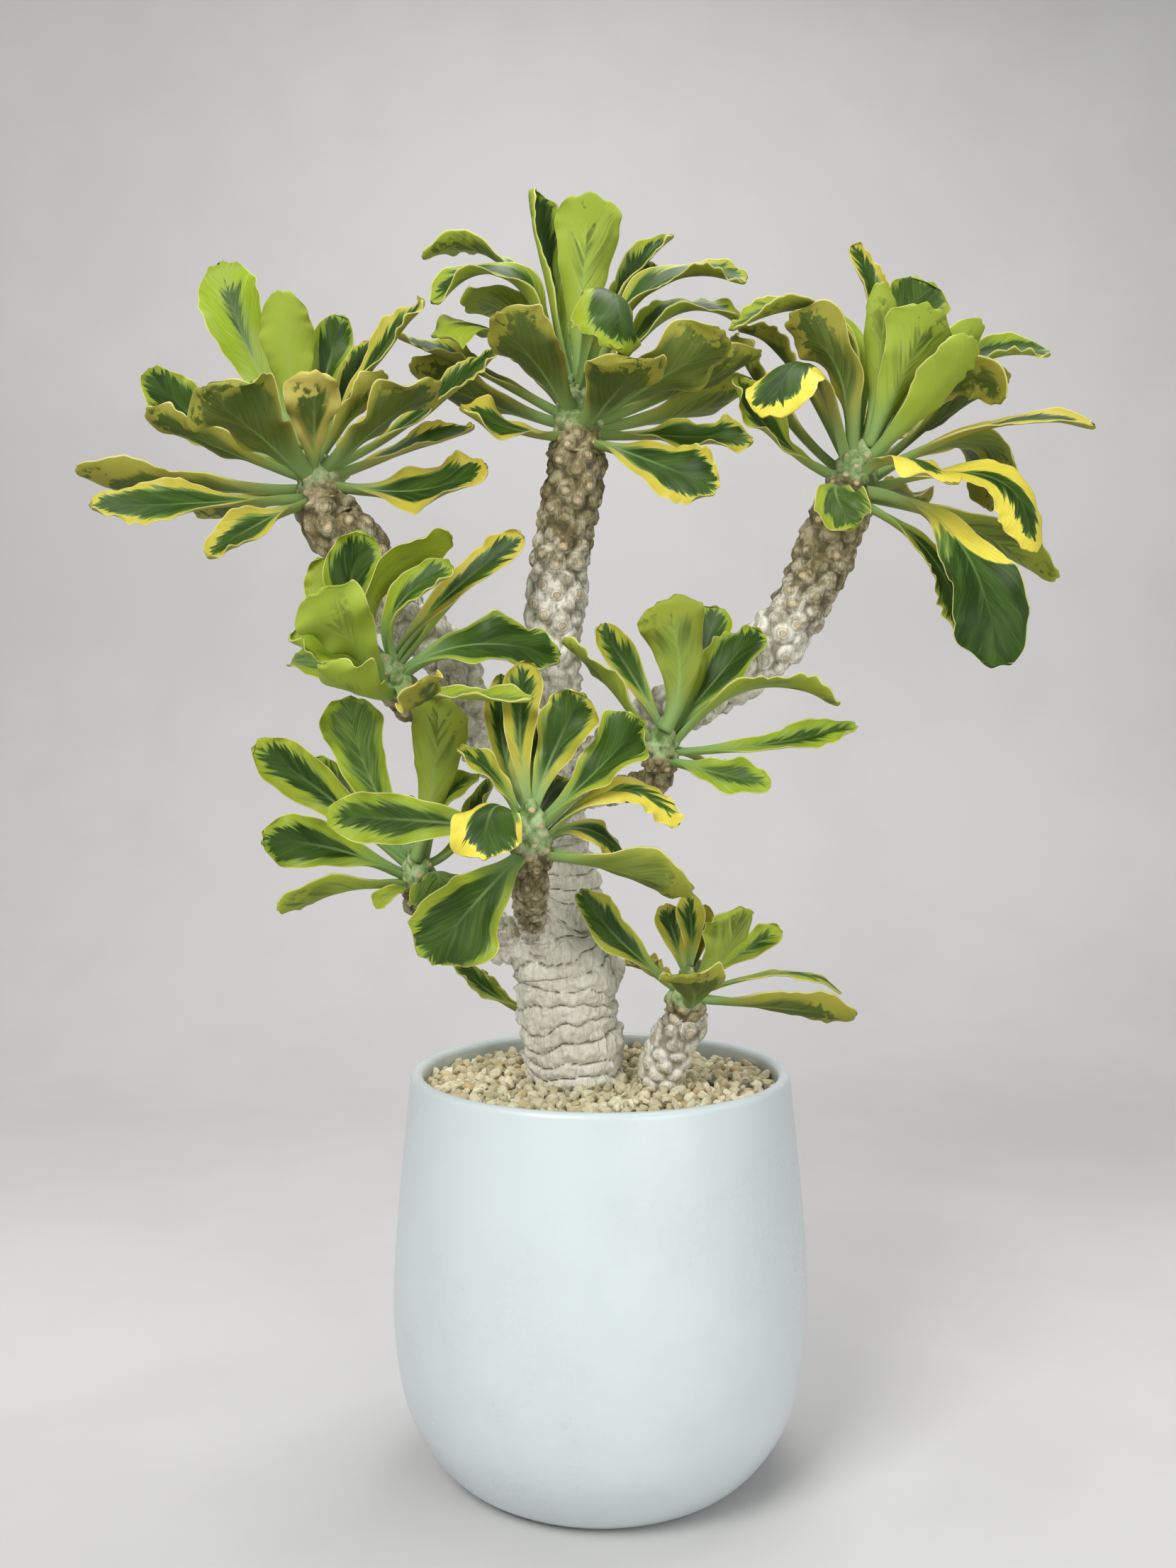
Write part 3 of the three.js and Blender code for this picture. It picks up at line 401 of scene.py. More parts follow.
# The pot's side as (height, radius), from the foot to the lip
POT_SIDE = np.array([[0, 86], [8, 98], [23, 111], [45, 122.5], [76, 129], [113, 131], [164, 128],
                     [214, 123.5], [248, 120]], float)
SIDE_ROWS = 90
LIP_ROWS = 13
POT_COLUMNS = 200


def make_pot():
    """Profile: a flat foot, up the outside, over a half round lip, and down the inside to the floor. The
    inside is the outside less the wall. The foot's edge is eased by FOOT_EASE, so that it catches no hard
    light."""
    outside = smooth_line(POT_SIDE, np.linspace(0, 1, SIDE_ROWS))
    half = POT_WALL / 2
    turn = np.linspace(0, np.pi, LIP_ROWS + 2)[1:-1]
    lip = np.stack([POT_HEIGHT - half + half * np.sin(turn), RIM_RADIUS - half + half * np.cos(turn)], -1)
    inside = outside[::-1] - [0, POT_WALL]
    inside = inside[inside[:, 0] > POT_FLOOR]
    eased = outside + [FOOT_EASE, 0] * (outside[:, :1] < 1)
    foot = [[0, radius] for radius in FOOT_RINGS]
    floor = [[POT_FLOOR, inside[-1, 1]]]
    profile = np.vstack([foot, eased, lip, inside, floor])
    return turned("pot_glazed", profile[:, ::-1], POT_COLUMNS)


pot = make_pot()
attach(pot, "root")
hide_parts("pot")
print("pot:", len(pot.data.polygons), "faces")

# %% [markdown]
# ### Glaze
# The glaze is a satin white with a trace of blue. It varies very slightly in tone, has the faint ripple of a
# sprayed coat, and here and there a pinhead speck. The ripple is a bump, as it is far finer than the mesh.
# Specks are the middles of Voronoi cells, kept only in the few cells whose random colour is high.

# %% Glaze material
glaze, tree, shader = new_material("satin_glaze")
place = object_place(tree)
cloud = mottled(tree, place, 9.0)
cells = node(tree, "ShaderNodeTexVoronoi", {"Vector": place, "Scale": 55.0, "Randomness": 1.0})
picked = maths(tree, "GREATER_THAN", parts_of(tree, cells.outputs["Color"])["X"], 0.965)
speck = times(tree, ramp(tree, cells.outputs["Distance"], 0.05, 0.025), picked)
white = mixed(tree, cloud, colour("cad4d5"), colour("ced8d9"))
color = mixed(tree, times(tree, speck, 0.75), white, colour("6e675c"))
peel = noise(tree, place, 260.0, 1)
swell = noise(tree, place, 22.0, 1)
surface = maths(tree, "ADD", times(tree, peel, 0.25), swell)
rough = ramp(tree, cloud, 0.0, 1.0, 0.27, 0.34)
shade(tree, shader, color, rough, bump(tree, surface, 0.0009, 0.5), Coat_Weight=0.25, Coat_Roughness=0.18)
pot.data.materials.append(glaze)
print("glaze ready")

# %% [markdown]
# ## The potting mix
# Under the gravel the pot is full of dark potting mix. It can't be seen from outside, so the CAD solid stays
# and only gets its dark crumbly finish.

# %% Potting mix material
mix, tree, shader = new_material("potting_mix_crumb")
crumb = noise(tree, object_place(tree), 180.0, 4, 0.7)
soil = mixed(tree, ramp(tree, crumb, 0.35, 0.65), colour("2b221a"), colour("5a4836"))
shade(tree, shader, soil, 0.95, bump(tree, crumb, 0.002))
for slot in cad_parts["potting_mix"].material_slots:
    slot.material = mix
print("potting mix ready")

# %% [markdown]
# ## The pumice
# The top dressing is angular pumice in grains of 4 to 9 mm. Each grain is a small ball whose surface is
# pressed in by flat cuts in random directions, which is how crushed stone breaks. The grains lie in three
# layers, larger below and smaller above, on a bed that follows the CAD heap and is coloured as dust in
# painted shade. They are thrown by a seeded draw, so they always fall alike.

# %% Heap and layers
PUMICE_TOP = 238.0
PUMICE_RISE = 3.0
PUMICE_BOTTOM = 227.0
# The stems that stand in the gravel: the middle as x and y, and the radius
PLUGS = np.array([[-15.8, 4.0, 27.0], [37.8, -17.0, 14.5]])
# For each layer: least distance between grains, grains thrown, reach from the pot's axis, smallest and
# largest grain, and lift over the heap
LAYERS = [
    (6.4, 2200, 109, 7.0, 9.5, -1.0),
    (6.2, 2200, 109.5, 5.0, 8.0, 2.3),
    (6.8, 1500, 109.5, 4.0, 6.5, 5.0),
]
UNEVENNESS = 0.8
draw = np.random.default_rng(411)


def heap_height(distance):
    """The top of the gravel at a distance from the pot's axis: a shallow cone."""
    return PUMICE_TOP + PUMICE_RISE * (1 - distance / RIM_RADIUS)


def scatter(spacing, thrown, reach, smallest, largest, lift):
    """Middles and radii of a layer's grains: random points kept off the pot wall, the stems and each
    other."""
    spots = np.zeros((0, 2))
    turn = draw.uniform(0, 2 * np.pi, thrown)
    out = reach * np.sqrt(draw.uniform(0, 1, thrown))
    for spot in np.stack([out * np.cos(turn), out * np.sin(turn)], -1):
        if len(spots) and np.min(np.hypot(*(spots - spot).T)) < spacing:
            continue
        spots = np.vstack([spots, spot])
    for x, y, radius in PLUGS:
        spots = spots[np.hypot(spots[:, 0] - x, spots[:, 1] - y) > radius - 1]
    sizes = draw.uniform(smallest, largest, len(spots)) / 2
    height = heap_height(np.hypot(*spots.T)) + lift + draw.uniform(-UNEVENNESS, UNEVENNESS, len(spots))
    return np.column_stack([spots, height]), sizes


print("gravel layers:", len(LAYERS))

# %% Grain shapes
GRAIN_SPLITS = 2
GRAIN_CUTS = 9
CUT_SHARPNESS = 20
LEAST_FACING = 0.12
OUT_OF_REACH = 9.0
LONGEST_REACH = 1.3


def ball(splits):
    """Points and triangles of an eight-sided ball, each face split in four, splits times, pushed out to
    radius 1."""
    points = np.array([[1, 0, 0], [-1, 0, 0], [0, 1, 0], [0, -1, 0], [0, 0, 1], [0, 0, -1]], float)
    faces = np.array([[0, 2, 4], [2, 1, 4], [1, 3, 4], [3, 0, 4], [2, 0, 5], [1, 2, 5], [3, 1, 5], [0, 3, 5]])
    for _ in range(splits):
        edges = np.sort(np.concatenate([faces[:, [0, 1]], faces[:, [1, 2]], faces[:, [2, 0]]]), 1)
        unique, where = np.unique(edges, axis=0, return_inverse=True)
        a, b, c = where.reshape(3, -1) + len(points)
        points = np.vstack([points, points[unique].mean(1)])
        i, j, k = faces.T
        faces = np.vstack([np.stack(f, -1) for f in ((i, a, c), (a, j, b), (c, b, k), (a, b, c))])
    return unit(points), faces


def cut_reach(directions, cuts, depths):
    """How far each grain reaches in each direction: the least distance to its cutting planes, softly
    joined."""
    facing = np.einsum("vk,nck->nvc", directions, cuts)
    met = depths[:, None, :] / np.maximum(facing, LEAST_FACING)
    distance = np.where(facing > LEAST_FACING, met, OUT_OF_REACH)
    joined = -np.log(np.sum(np.exp(-CUT_SHARPNESS * distance), -1)) / CUT_SHARPNESS
    return np.minimum(joined, LONGEST_REACH)


def turning(quaternions):
    """The turning matrix of each unit quaternion."""
    w, x, y, z = quaternions.T
    return np.array([[1 - 2 * (y * y + z * z), 2 * (x * y - z * w), 2 * (x * z + y * w)],
                     [2 * (x * y + z * w), 1 - 2 * (x * x + z * z), 2 * (y * z - x * w)],
                     [2 * (x * z - y * w), 2 * (y * z + x * w), 1 - 2 * (x * x + y * y)]]).transpose(2, 0, 1)


def make_grains():
    """Each grain = a ball pressed in by its cuts, stretched along three axes, turned at random and put in
    place."""
    layers = [scatter(*layer) for layer in LAYERS]
    centres = np.vstack([layer[0] for layer in layers])
    sizes = np.concatenate([layer[1] for layer in layers])
    count = len(centres)
    directions, faces = ball(GRAIN_SPLITS)
    cuts = unit(draw.normal(size=(count, GRAIN_CUTS, 3)))
    depths = draw.uniform(0.6, 1.0, (count, GRAIN_CUTS))
    stretch = draw.uniform(0.8, 1.35, (count, 1, 3))
    spin = turning(unit(draw.normal(size=(count, 4))))
    shapes = directions[None] * cut_reach(directions, cuts, depths)[..., None] * stretch
    points = centres[:, None] + np.einsum("nij,nvj->nvi", spin, shapes) * sizes[:, None, None]
    points = points.reshape(-1, 3)
    corners = faces[None] + (np.arange(count) * len(directions))[:, None, None]
    no_quads = np.zeros((0, 4), int)
    grains = mesh_object("pumice_grains", points, no_quads, corners.reshape(-1, 3), smooth=False)
    add_attribute(grains, "grain", np.repeat(draw.uniform(0, 1, (count, 3)), len(directions), 0))
    print("pumice grains:", count, "with", len(grains.data.polygons), "faces")
    return grains


grains = make_grains()

# %% Bed under the grains
BED_DEPTH = 3.5
BED_REACH = 111.4
BED_INNER = 2.0
BED_ROWS = 46
BED_COLUMNS = 120


def make_bed():
    """Profile: from the bottom up the rim, then over the heap to the middle, BED_DEPTH below the gravel's
    top. The stems cover the places where they stand, so the bed has no holes."""
    out = np.linspace(BED_REACH, BED_INNER, BED_ROWS)
    over = np.stack([out, heap_height(out) - BED_DEPTH], -1)
    return turned("pumice_bed", np.vstack([[BED_REACH, PUMICE_BOTTOM], over]), BED_COLUMNS)


bed = make_bed()
for piece in (grains, bed):
    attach(piece, "root")
    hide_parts("pumice_topdressing")
print("pumice bed:", len(bed.data.polygons), "faces")

# %% [markdown]
# ### Pumice finish
# Pumice is pale buff, and each grain has its own tone, so three random numbers come with each grain: how pale
# it is, whether it is one of the warmer ones, and whether it is one of the few dark ones. Pores are small
# pits, coloured darker as painted shade. The bed between the grains is dust, coloured far darker than the
# grains as painted shade between them.

# %% Pumice materials
pumice, tree, shader = new_material("pumice_stone")
place = object_place(tree)
picks = parts_of(tree, attribute(tree, "grain"))
pale = mixed(tree, ramp(tree, picks["X"], 0.0, 1.0), colour("b9ad84"), colour("e6dfbf"))
warm = mixed(tree, ramp(tree, picks["Y"], 0.85, 0.98), pale, colour("c2a874"))
dark = mixed(tree, ramp(tree, picks["Z"], 0.985, 0.99), warm, colour("33312c"))
pores_and_pit_shade = noise(tree, place, 900.0, 3, 0.7)
cloud = mottled(tree, place, 160.0)
dusty = mixed(tree, times(tree, cloud, 0.35), dark, colour("e6dfc3"))
# Painted shade: the pores' pits are coloured darker
color = mixed(tree, ramp(tree, pores_and_pit_shade, 0.40, 0.3), dusty, colour("94885f"))
shade(tree, shader, color, 0.92, bump(tree, pores_and_pit_shade, 0.0006, 0.8))
grains.data.materials.append(pumice)

# The bed is coloured far darker than the grains' dust: painted shade between the grains
under, tree, shader = new_material("pumice_dust_and_shade")
dust = noise(tree, object_place(tree), 300.0, 4, 0.7)
shade(tree, shader, mixed(tree, dust, colour("4a4230"), colour("8d8260")), 0.95, bump(tree, dust, 0.002))
bed.data.materials.append(under)
print("pumice finish ready")

# %% [markdown]
# ## Stems as tubes
# Every stem is a tube along a smooth line, with a radius at each of the line's points, as in the CAD solids.
# The finer surface adds what a fallen leaf leaves behind: a rounded cushion with a round scar. The cushions
# sit on a spiral, each a golden angle round from the last, and a crease runs where the cushions of three
# neighbours meet.

# %% Places in the front view
def seen(point):
    """A point [across, up, toward] of the front view: on the plane Y = 0 as the eye sees it, then moved along
    the line of sight so that it lies "toward" millimetres in front of that plane."""
    across, up, toward = np.moveaxis(np.asarray(point, float), -1, 0)
    slide = 1 - toward / -EYE[1]
    return np.stack([EYE[0] + (across - EYE[0]) * slide, -toward, EYE[2] + (up - EYE[2]) * slide], -1)


print("a point 100 mm nearer than the pot's axis:", np.round(seen([0, 400, 100]), 1))

# %% Tubes along lines
STEP_ALONG = 1.3
LINE_SAMPLES = 600
RADIUS_SMOOTHING = 6.0


def carried_frames(line):
    """For each point of a line: its direction and two directions across it, carried along without twist."""
    along = unit(np.gradient(line, axis=0))
    side = np.cross(along[0], [0.3, -1, 0.2])
    sides = []
    for direction in along:
        side = unit(side - direction * side.dot(direction))
        sides.append(side)
    sides = np.array(sides)
    return along, sides, np.cross(along, sides)


def tube_line(points, radii, step):
    """Places a step apart along the smooth line through the points: their points, radii and distances
    reached. The radii are joined straight from one to the next, then averaged over RADIUS_SMOOTHING to either
    side."""
    fine = np.linspace(0, 1, LINE_SAMPLES)
    dense = smooth_line(points, fine)
    reached = np.concatenate([[0], np.cumsum(np.linalg.norm(np.diff(dense, axis=0), axis=1))])
    count = max(int(reached[-1] / step), 4)
    even = np.linspace(0, reached[-1], count)
    line = np.stack([np.interp(even, reached, dense[:, i]) for i in range(3)], -1)
    radius = np.interp(np.interp(even, reached, fine), np.linspace(0, 1, len(radii)), radii)
    width = max(int(RADIUS_SMOOTHING / step), 1)
    padded = np.pad(radius, width, mode="edge")
    return line, np.convolve(padded, np.ones(2 * width + 1) / (2 * width + 1), "valid"), even


def round_tube(line, radius, columns):
    """The plain tube: angles round it, the directions out of it and its points, with a row for each place."""
    _, side, other = carried_frames(line)
    angle = np.broadcast_to(np.linspace(0, 2 * np.pi, columns, endpoint=False), (len(line), columns))
    outward = np.cos(angle)[..., None] * side[:, None] + np.sin(angle)[..., None] * other[:, None]
    return angle, outward, line[:, None] + outward * radius[:, None, None]


def waves_3d(points, scale, seed, count=24):
    """Smooth random relief from -1 to 1: a sum of sine waves in seeded directions, each about scale mm
    long."""
    pick = np.random.default_rng(seed)
    direction = unit(pick.normal(size=(count, 3)))
    length = scale * pick.uniform(0.6, 1.7, (count, 1))
    phase = pick.uniform(0, 2 * np.pi, count)
    waves = np.sin(points @ (direction * (2 * np.pi / length)).T + phase)
    return waves.sum(-1) / np.sqrt(count / 2) / 1.6


class Skin:
    """Gathers closed tubes with their attributes, and joins them in one mesh."""

    def __init__(self):
        self.points, self.quads, self.triangles = [], [], []
        self.values = {}
        self.count = 0

    def add(self, rings, **values):
        """Adds a tube. Each value is given for every point, every ring or once, and each end takes its ring's
        mean."""
        points, quads, triangles = closed_tube(rings)
        self.points.append(points)
        self.quads.append(quads + self.count)
        self.triangles.append(triangles + self.count)
        self.count += len(points)
        for key, value in values.items():
            value = np.broadcast_to(value, rings.shape[:2] + np.shape(value)[2:])
            flat = value.reshape((-1,) + value.shape[2:])
            ends = np.stack([value[0].mean(0), value[-1].mean(0)])
            self.values.setdefault(key, []).append(np.concatenate([flat, ends]))

    def build(self, name):
        thing = mesh_object(name, np.vstack(self.points), np.vstack(self.quads), np.vstack(self.triangles))
        for key, parts in self.values.items():
            add_attribute(thing, key, np.concatenate(parts))
        print(name + ":", sum(2 * len(q) + len(t) for q, t in zip(self.quads, self.triangles)), "triangles")
        return thing


print("tube helpers ready")

# %% Leaf cushions
GOLDEN_ANGLE = np.radians(137.508)
CUSHION_PACKING = 0.866
CUSHION_HALF_WIDTH = 0.58
FALL_ABOVE = 0.66
FALL_BELOW = 0.36
SOFTNESS = 12.0
FAR_FROM_SCARS = 99.0


def scattered(number, seed):
    """Three random numbers from 0 to 1 for each number: the broken part of a large multiple of a sine."""
    large = [np.abs(np.sin(number * factor + seed) * 43758.5453) for factor in (12.9898, 78.233, 39.425)]
    return [np.modf(value)[0] for value in large]


def cushions(angle, reached, radius, size, seed):
    """Cushion number k lies at k golden angles round the stem, at the height where k cushions of the given
    size fit below it. Each is the cap of an oval, wider than tall, that falls off gently above its middle and
    steeply below it, like a shingle. The caps are joined by a soft maximum. Returns the joined height (about
    0 to 1), the distance in mm to the nearest scar and the nearest cushion's own random number."""
    area = CUSHION_PACKING * size * size
    number = np.concatenate([[0], np.cumsum(np.pi * (radius[1:] + radius[:-1]) * np.diff(reached) / area)])
    rate = np.gradient(number, reached)
    base = np.floor(number)[:, None]
    total = np.zeros(angle.shape)
    scar = np.full(angle.shape, FAR_FROM_SCARS)
    own = np.zeros(angle.shape)
    neighbours = int(2.2 * size * rate.max()) + 2
    for step in range(-neighbours, neighbours + 1):
        k = base + step
        random = scattered(k, seed)
        turn = (angle - k * GOLDEN_ANGLE - 0.3 * (random[0] - 0.5) + np.pi) % (2 * np.pi) - np.pi
        across = turn * radius[:, None]
        up = (number[:, None] - k) / rate[:, None] - 0.25 * size * (random[1] - 0.5)
        fall = np.where(up > 0, FALL_ABOVE, FALL_BELOW) * size * (0.85 + 0.3 * random[2])
        inside = np.clip(1 - (across / (CUSHION_HALF_WIDTH * size)) ** 2 - (up / fall) ** 2, 0, 1)
        total += np.exp(SOFTNESS * np.sqrt(inside) * (0.8 + 0.3 * random[2]))
        distance = np.hypot(across, 1.15 * up)
        own = np.where(distance < scar, random[2] + 0 * angle, own)
        scar = np.minimum(scar, distance)
    return np.log(total) / SOFTNESS, scar, own


print("cushions are a golden angle of", round(float(np.degrees(GOLDEN_ANGLE)), 3), "degrees apart")

# %% Skin of a knobbly stem
SCAR_SHARE = 0.2
SCAR_SMALLEST = 1.1
SCAR_LARGEST = 2.5
BAND_PITCH = 8.5
TIP_FADE = 5.0


def scar_relief(dome, scar, size, depth):
    """Height of the cushions in mm = the joined domes times depth, pressed flat to a pad where the scar is,
    with a thin raised ring round the pad, a pit in its middle and a groove outside the ring."""
    pad = smooth_step(1.25 * size, 0.9 * size, scar)
    ring = np.exp(-((scar - 0.92 * size) / 0.55) ** 2)
    pit = np.exp(-(scar / 0.6) ** 2)
    groove = np.exp(-((scar - 1.5 * size) / 0.6) ** 2)
    pressed = dome - 0.6 - 0.2 * pad * np.clip(dome - 0.7, 0, 1)
    return depth * pressed + 0.4 * ring - 0.3 * pit - 0.35 * groove


def knobbly_rings(line, radius, reached, size, depth, seed, worn):
    """The skin of a stem with cushions of the given size and depth in mm, and what its material reads: the
    distance to a scar in scar radii, how open to the sky the point lies, and the cushion's own number. worn,
    0 to 1 along the stem, flattens the cushions, hides their scars and wrinkles the bark in bands instead."""
    columns = max(int(2 * np.pi * radius.max() / STEP_ALONG), 16)
    angle, outward, base = round_tube(line, radius, columns)
    dome, scar, own = cushions(angle, reached, radius, size, seed)
    scar_size = np.clip(SCAR_SHARE * size, SCAR_SMALLEST, SCAR_LARGEST)
    worn = np.broadcast_to(worn[:, None], angle.shape)
    band = np.sin(2 * np.pi * (reached[:, None] + 3.5 * waves_3d(base, 30, seed + 4)) / BAND_PITCH)
    wrinkle = waves_3d(base * [1, 1, 0.4], 2.6, seed + 1) * 0.3
    flake = np.abs(waves_3d(base * [1, 1, 1.6], 5, seed + 3))
    lump = waves_3d(base, 12, seed + 2) * 0.8
    height = scar_relief(dome, scar, scar_size, depth) * blend(1, 0.45, worn)
    height = height + wrinkle * blend(0.5, 1.5, worn) + lump + worn * (1.1 * band - 1.0 * flake)
    ends = smooth_step(0, TIP_FADE, reached[-1] - reached)[:, None]
    height = height * ends - 0.3 * radius[:, None] * (1 - ends) ** 2
    # How open to the sky each point lies, which the bark colours as painted shade
    crease = smooth_step(0.1, 0.85, dome)
    open_sky = crease * blend(1, 0.6, worn) + 0.4 * worn * (1 - 0.5 * flake)
    hidden_scar = 20 * smooth_step(0.3, 0.75, worn + 0.5 * (own - 0.5))
    bark = np.stack([scar / scar_size + hidden_scar, open_sky, own], -1)
    return base + outward * height[..., None], bark


print("knobbly skin ready")

# %% [markdown]
# ## The old trunk and its limbs
# The trunk is the oldest part. Its leaf cushions have merged into stacked wavy ridges, about a centimetre
# apart, with fine upright wrinkles, and branches that were lost left stubs. Towards the rosettes the bark is
# younger: the cushions stand out more and more, and its colour goes from pale grey to an olive brown.

# %% Lines of the stems
# The trunk's line and the plugs are in millimetres of the frame. The limbs' lines are [across, up, toward] in
# the front view. "size" and "depth" are those of the cushions. "worn" is how far along they are flat: past 1
# it is all the way, and below 0 nowhere. "young" is the share of the limb, from its end, where the bark isn't
# grey yet.
TRUNK_LINE = [[-15.8, 4, 232], [-15.8, 4, 244], [-16.9, 3, 262], [-22, 2, 292], [-21.5, 1, 315],
              [-26, 0, 330], [-26, 0, 343], [-18, 0, 358], [-18.5, 0, 378], [-22, 0, 394]]
TRUNK_RADII = [28, 29, 30.5, 30.5, 33.5, 31, 25, 17.5, 16, 12.5]
TIP_OVERLAP = 5.0
BRANCHES = {
    "rosette_top_centre": {
        "line": [[-21.5, 385, 0], [-21.2, 402, 0], [-23.4, 457.6, -4], [-26.5, 501, -4], [-28.7, 538, 0],
                 [-23.3, 589, 0]],
        "radii": [11, 10.5, 10.5, 13.5, 18, 18, 18, 17.5], "size": 13.5, "depth": 5.8,
        "worn": 0.45, "young": 0.5,
    },
    "rosette_top_left": {
        "line": [[-22, 388, 0], [-25.6, 412.7, 0], [-57, 440, -6], [-79.5, 460, -10], [-86, 489, -12],
                 [-97, 514, -10], [-136, 547, -4], [-154, 583, 0]],
        "radii": [11, 11.5, 12, 12.5, 14, 15.5, 17, 18, 18.5, 18.5], "size": 13.5, "depth": 5.8,
        "worn": 0.4, "young": 0.3,
    },
    "rosette_top_right": {
        "line": [[-22, 415, 0], [-7.7, 444, 0], [37, 475.6, -2], [73, 493.5, -2], [107.9, 520, 0],
                 [130.6, 554, 0]],
        "radii": [9, 12, 15.5, 16.5, 17.5, 17.5, 17.5, 17.5], "size": 13.5, "depth": 5.8,
        "worn": 0.25, "young": 0.45,
    },
    "rosette_mid_left": {
        "line": [[-88, 500, -10], [-103, 492, 12]],
        "radii": [8, 8.5, 9, 9], "size": 8.5, "depth": 4.2, "worn": 0.1, "young": 0.9,
    },
    "rosette_mid_right": {
        "line": [[-22, 420, 0], [4, 428, 10], [28, 432, 22]],
        "radii": [7.5, 8, 9, 9.5, 9.5], "size": 8.5, "depth": 4.2, "worn": 0.1, "young": 0.9,
    },
    "rosette_front": {
        "line": [[-33, 326, 12], [-40, 337, 40], [-44.5, 356, 66]],
        "radii": [8, 8.5, 9.5, 10, 10], "size": 8.5, "depth": 3.8, "worn": 0.4, "young": 0.9,
    },
    "rosette_low_left": {
        "line": [[-40, 334, 10], [-70, 343, 18], [-97, 350, 22]],
        "radii": [8, 8.5, 9, 9.5, 9.5], "size": 8.5, "depth": 4.2, "worn": 0.1, "young": 0.9,
    },
    "rosette_basal_shoot": {
        "line": [[-20, 268, -10], [-29, 266, -30]],
        "radii": [6, 6.5, 7, 7], "size": 7, "depth": 1.5, "worn": 0.1, "young": 0.9,
    },
}
SIDE_STEM = {
    "line": [[38, 228, 17.2], [38.6, 243, 17.5], [40.5, 254, 21], [46, 268, 28]],
    "radii": [14.5, 13.5, 14, 14, 13.5, 12], "size": 11, "depth": 5.4, "worn": -1,
}
STUBS = [
    {
        "line": [[-24, 332, 4], [-50, 332, 8], [-70, 324, 6]],
        "radii": [15, 12.5, 8.5], "size": 10, "depth": 2.0, "worn": 2,
    },
    {
        "line": [[-20, 314, 0], [4, 316, 2], [15, 316, 4]],
        "radii": [10, 8, 6.5], "size": 10, "depth": 2.0, "worn": 2,
    },
]
print("limbs:", len(BRANCHES), "and stubs:", len(STUBS))

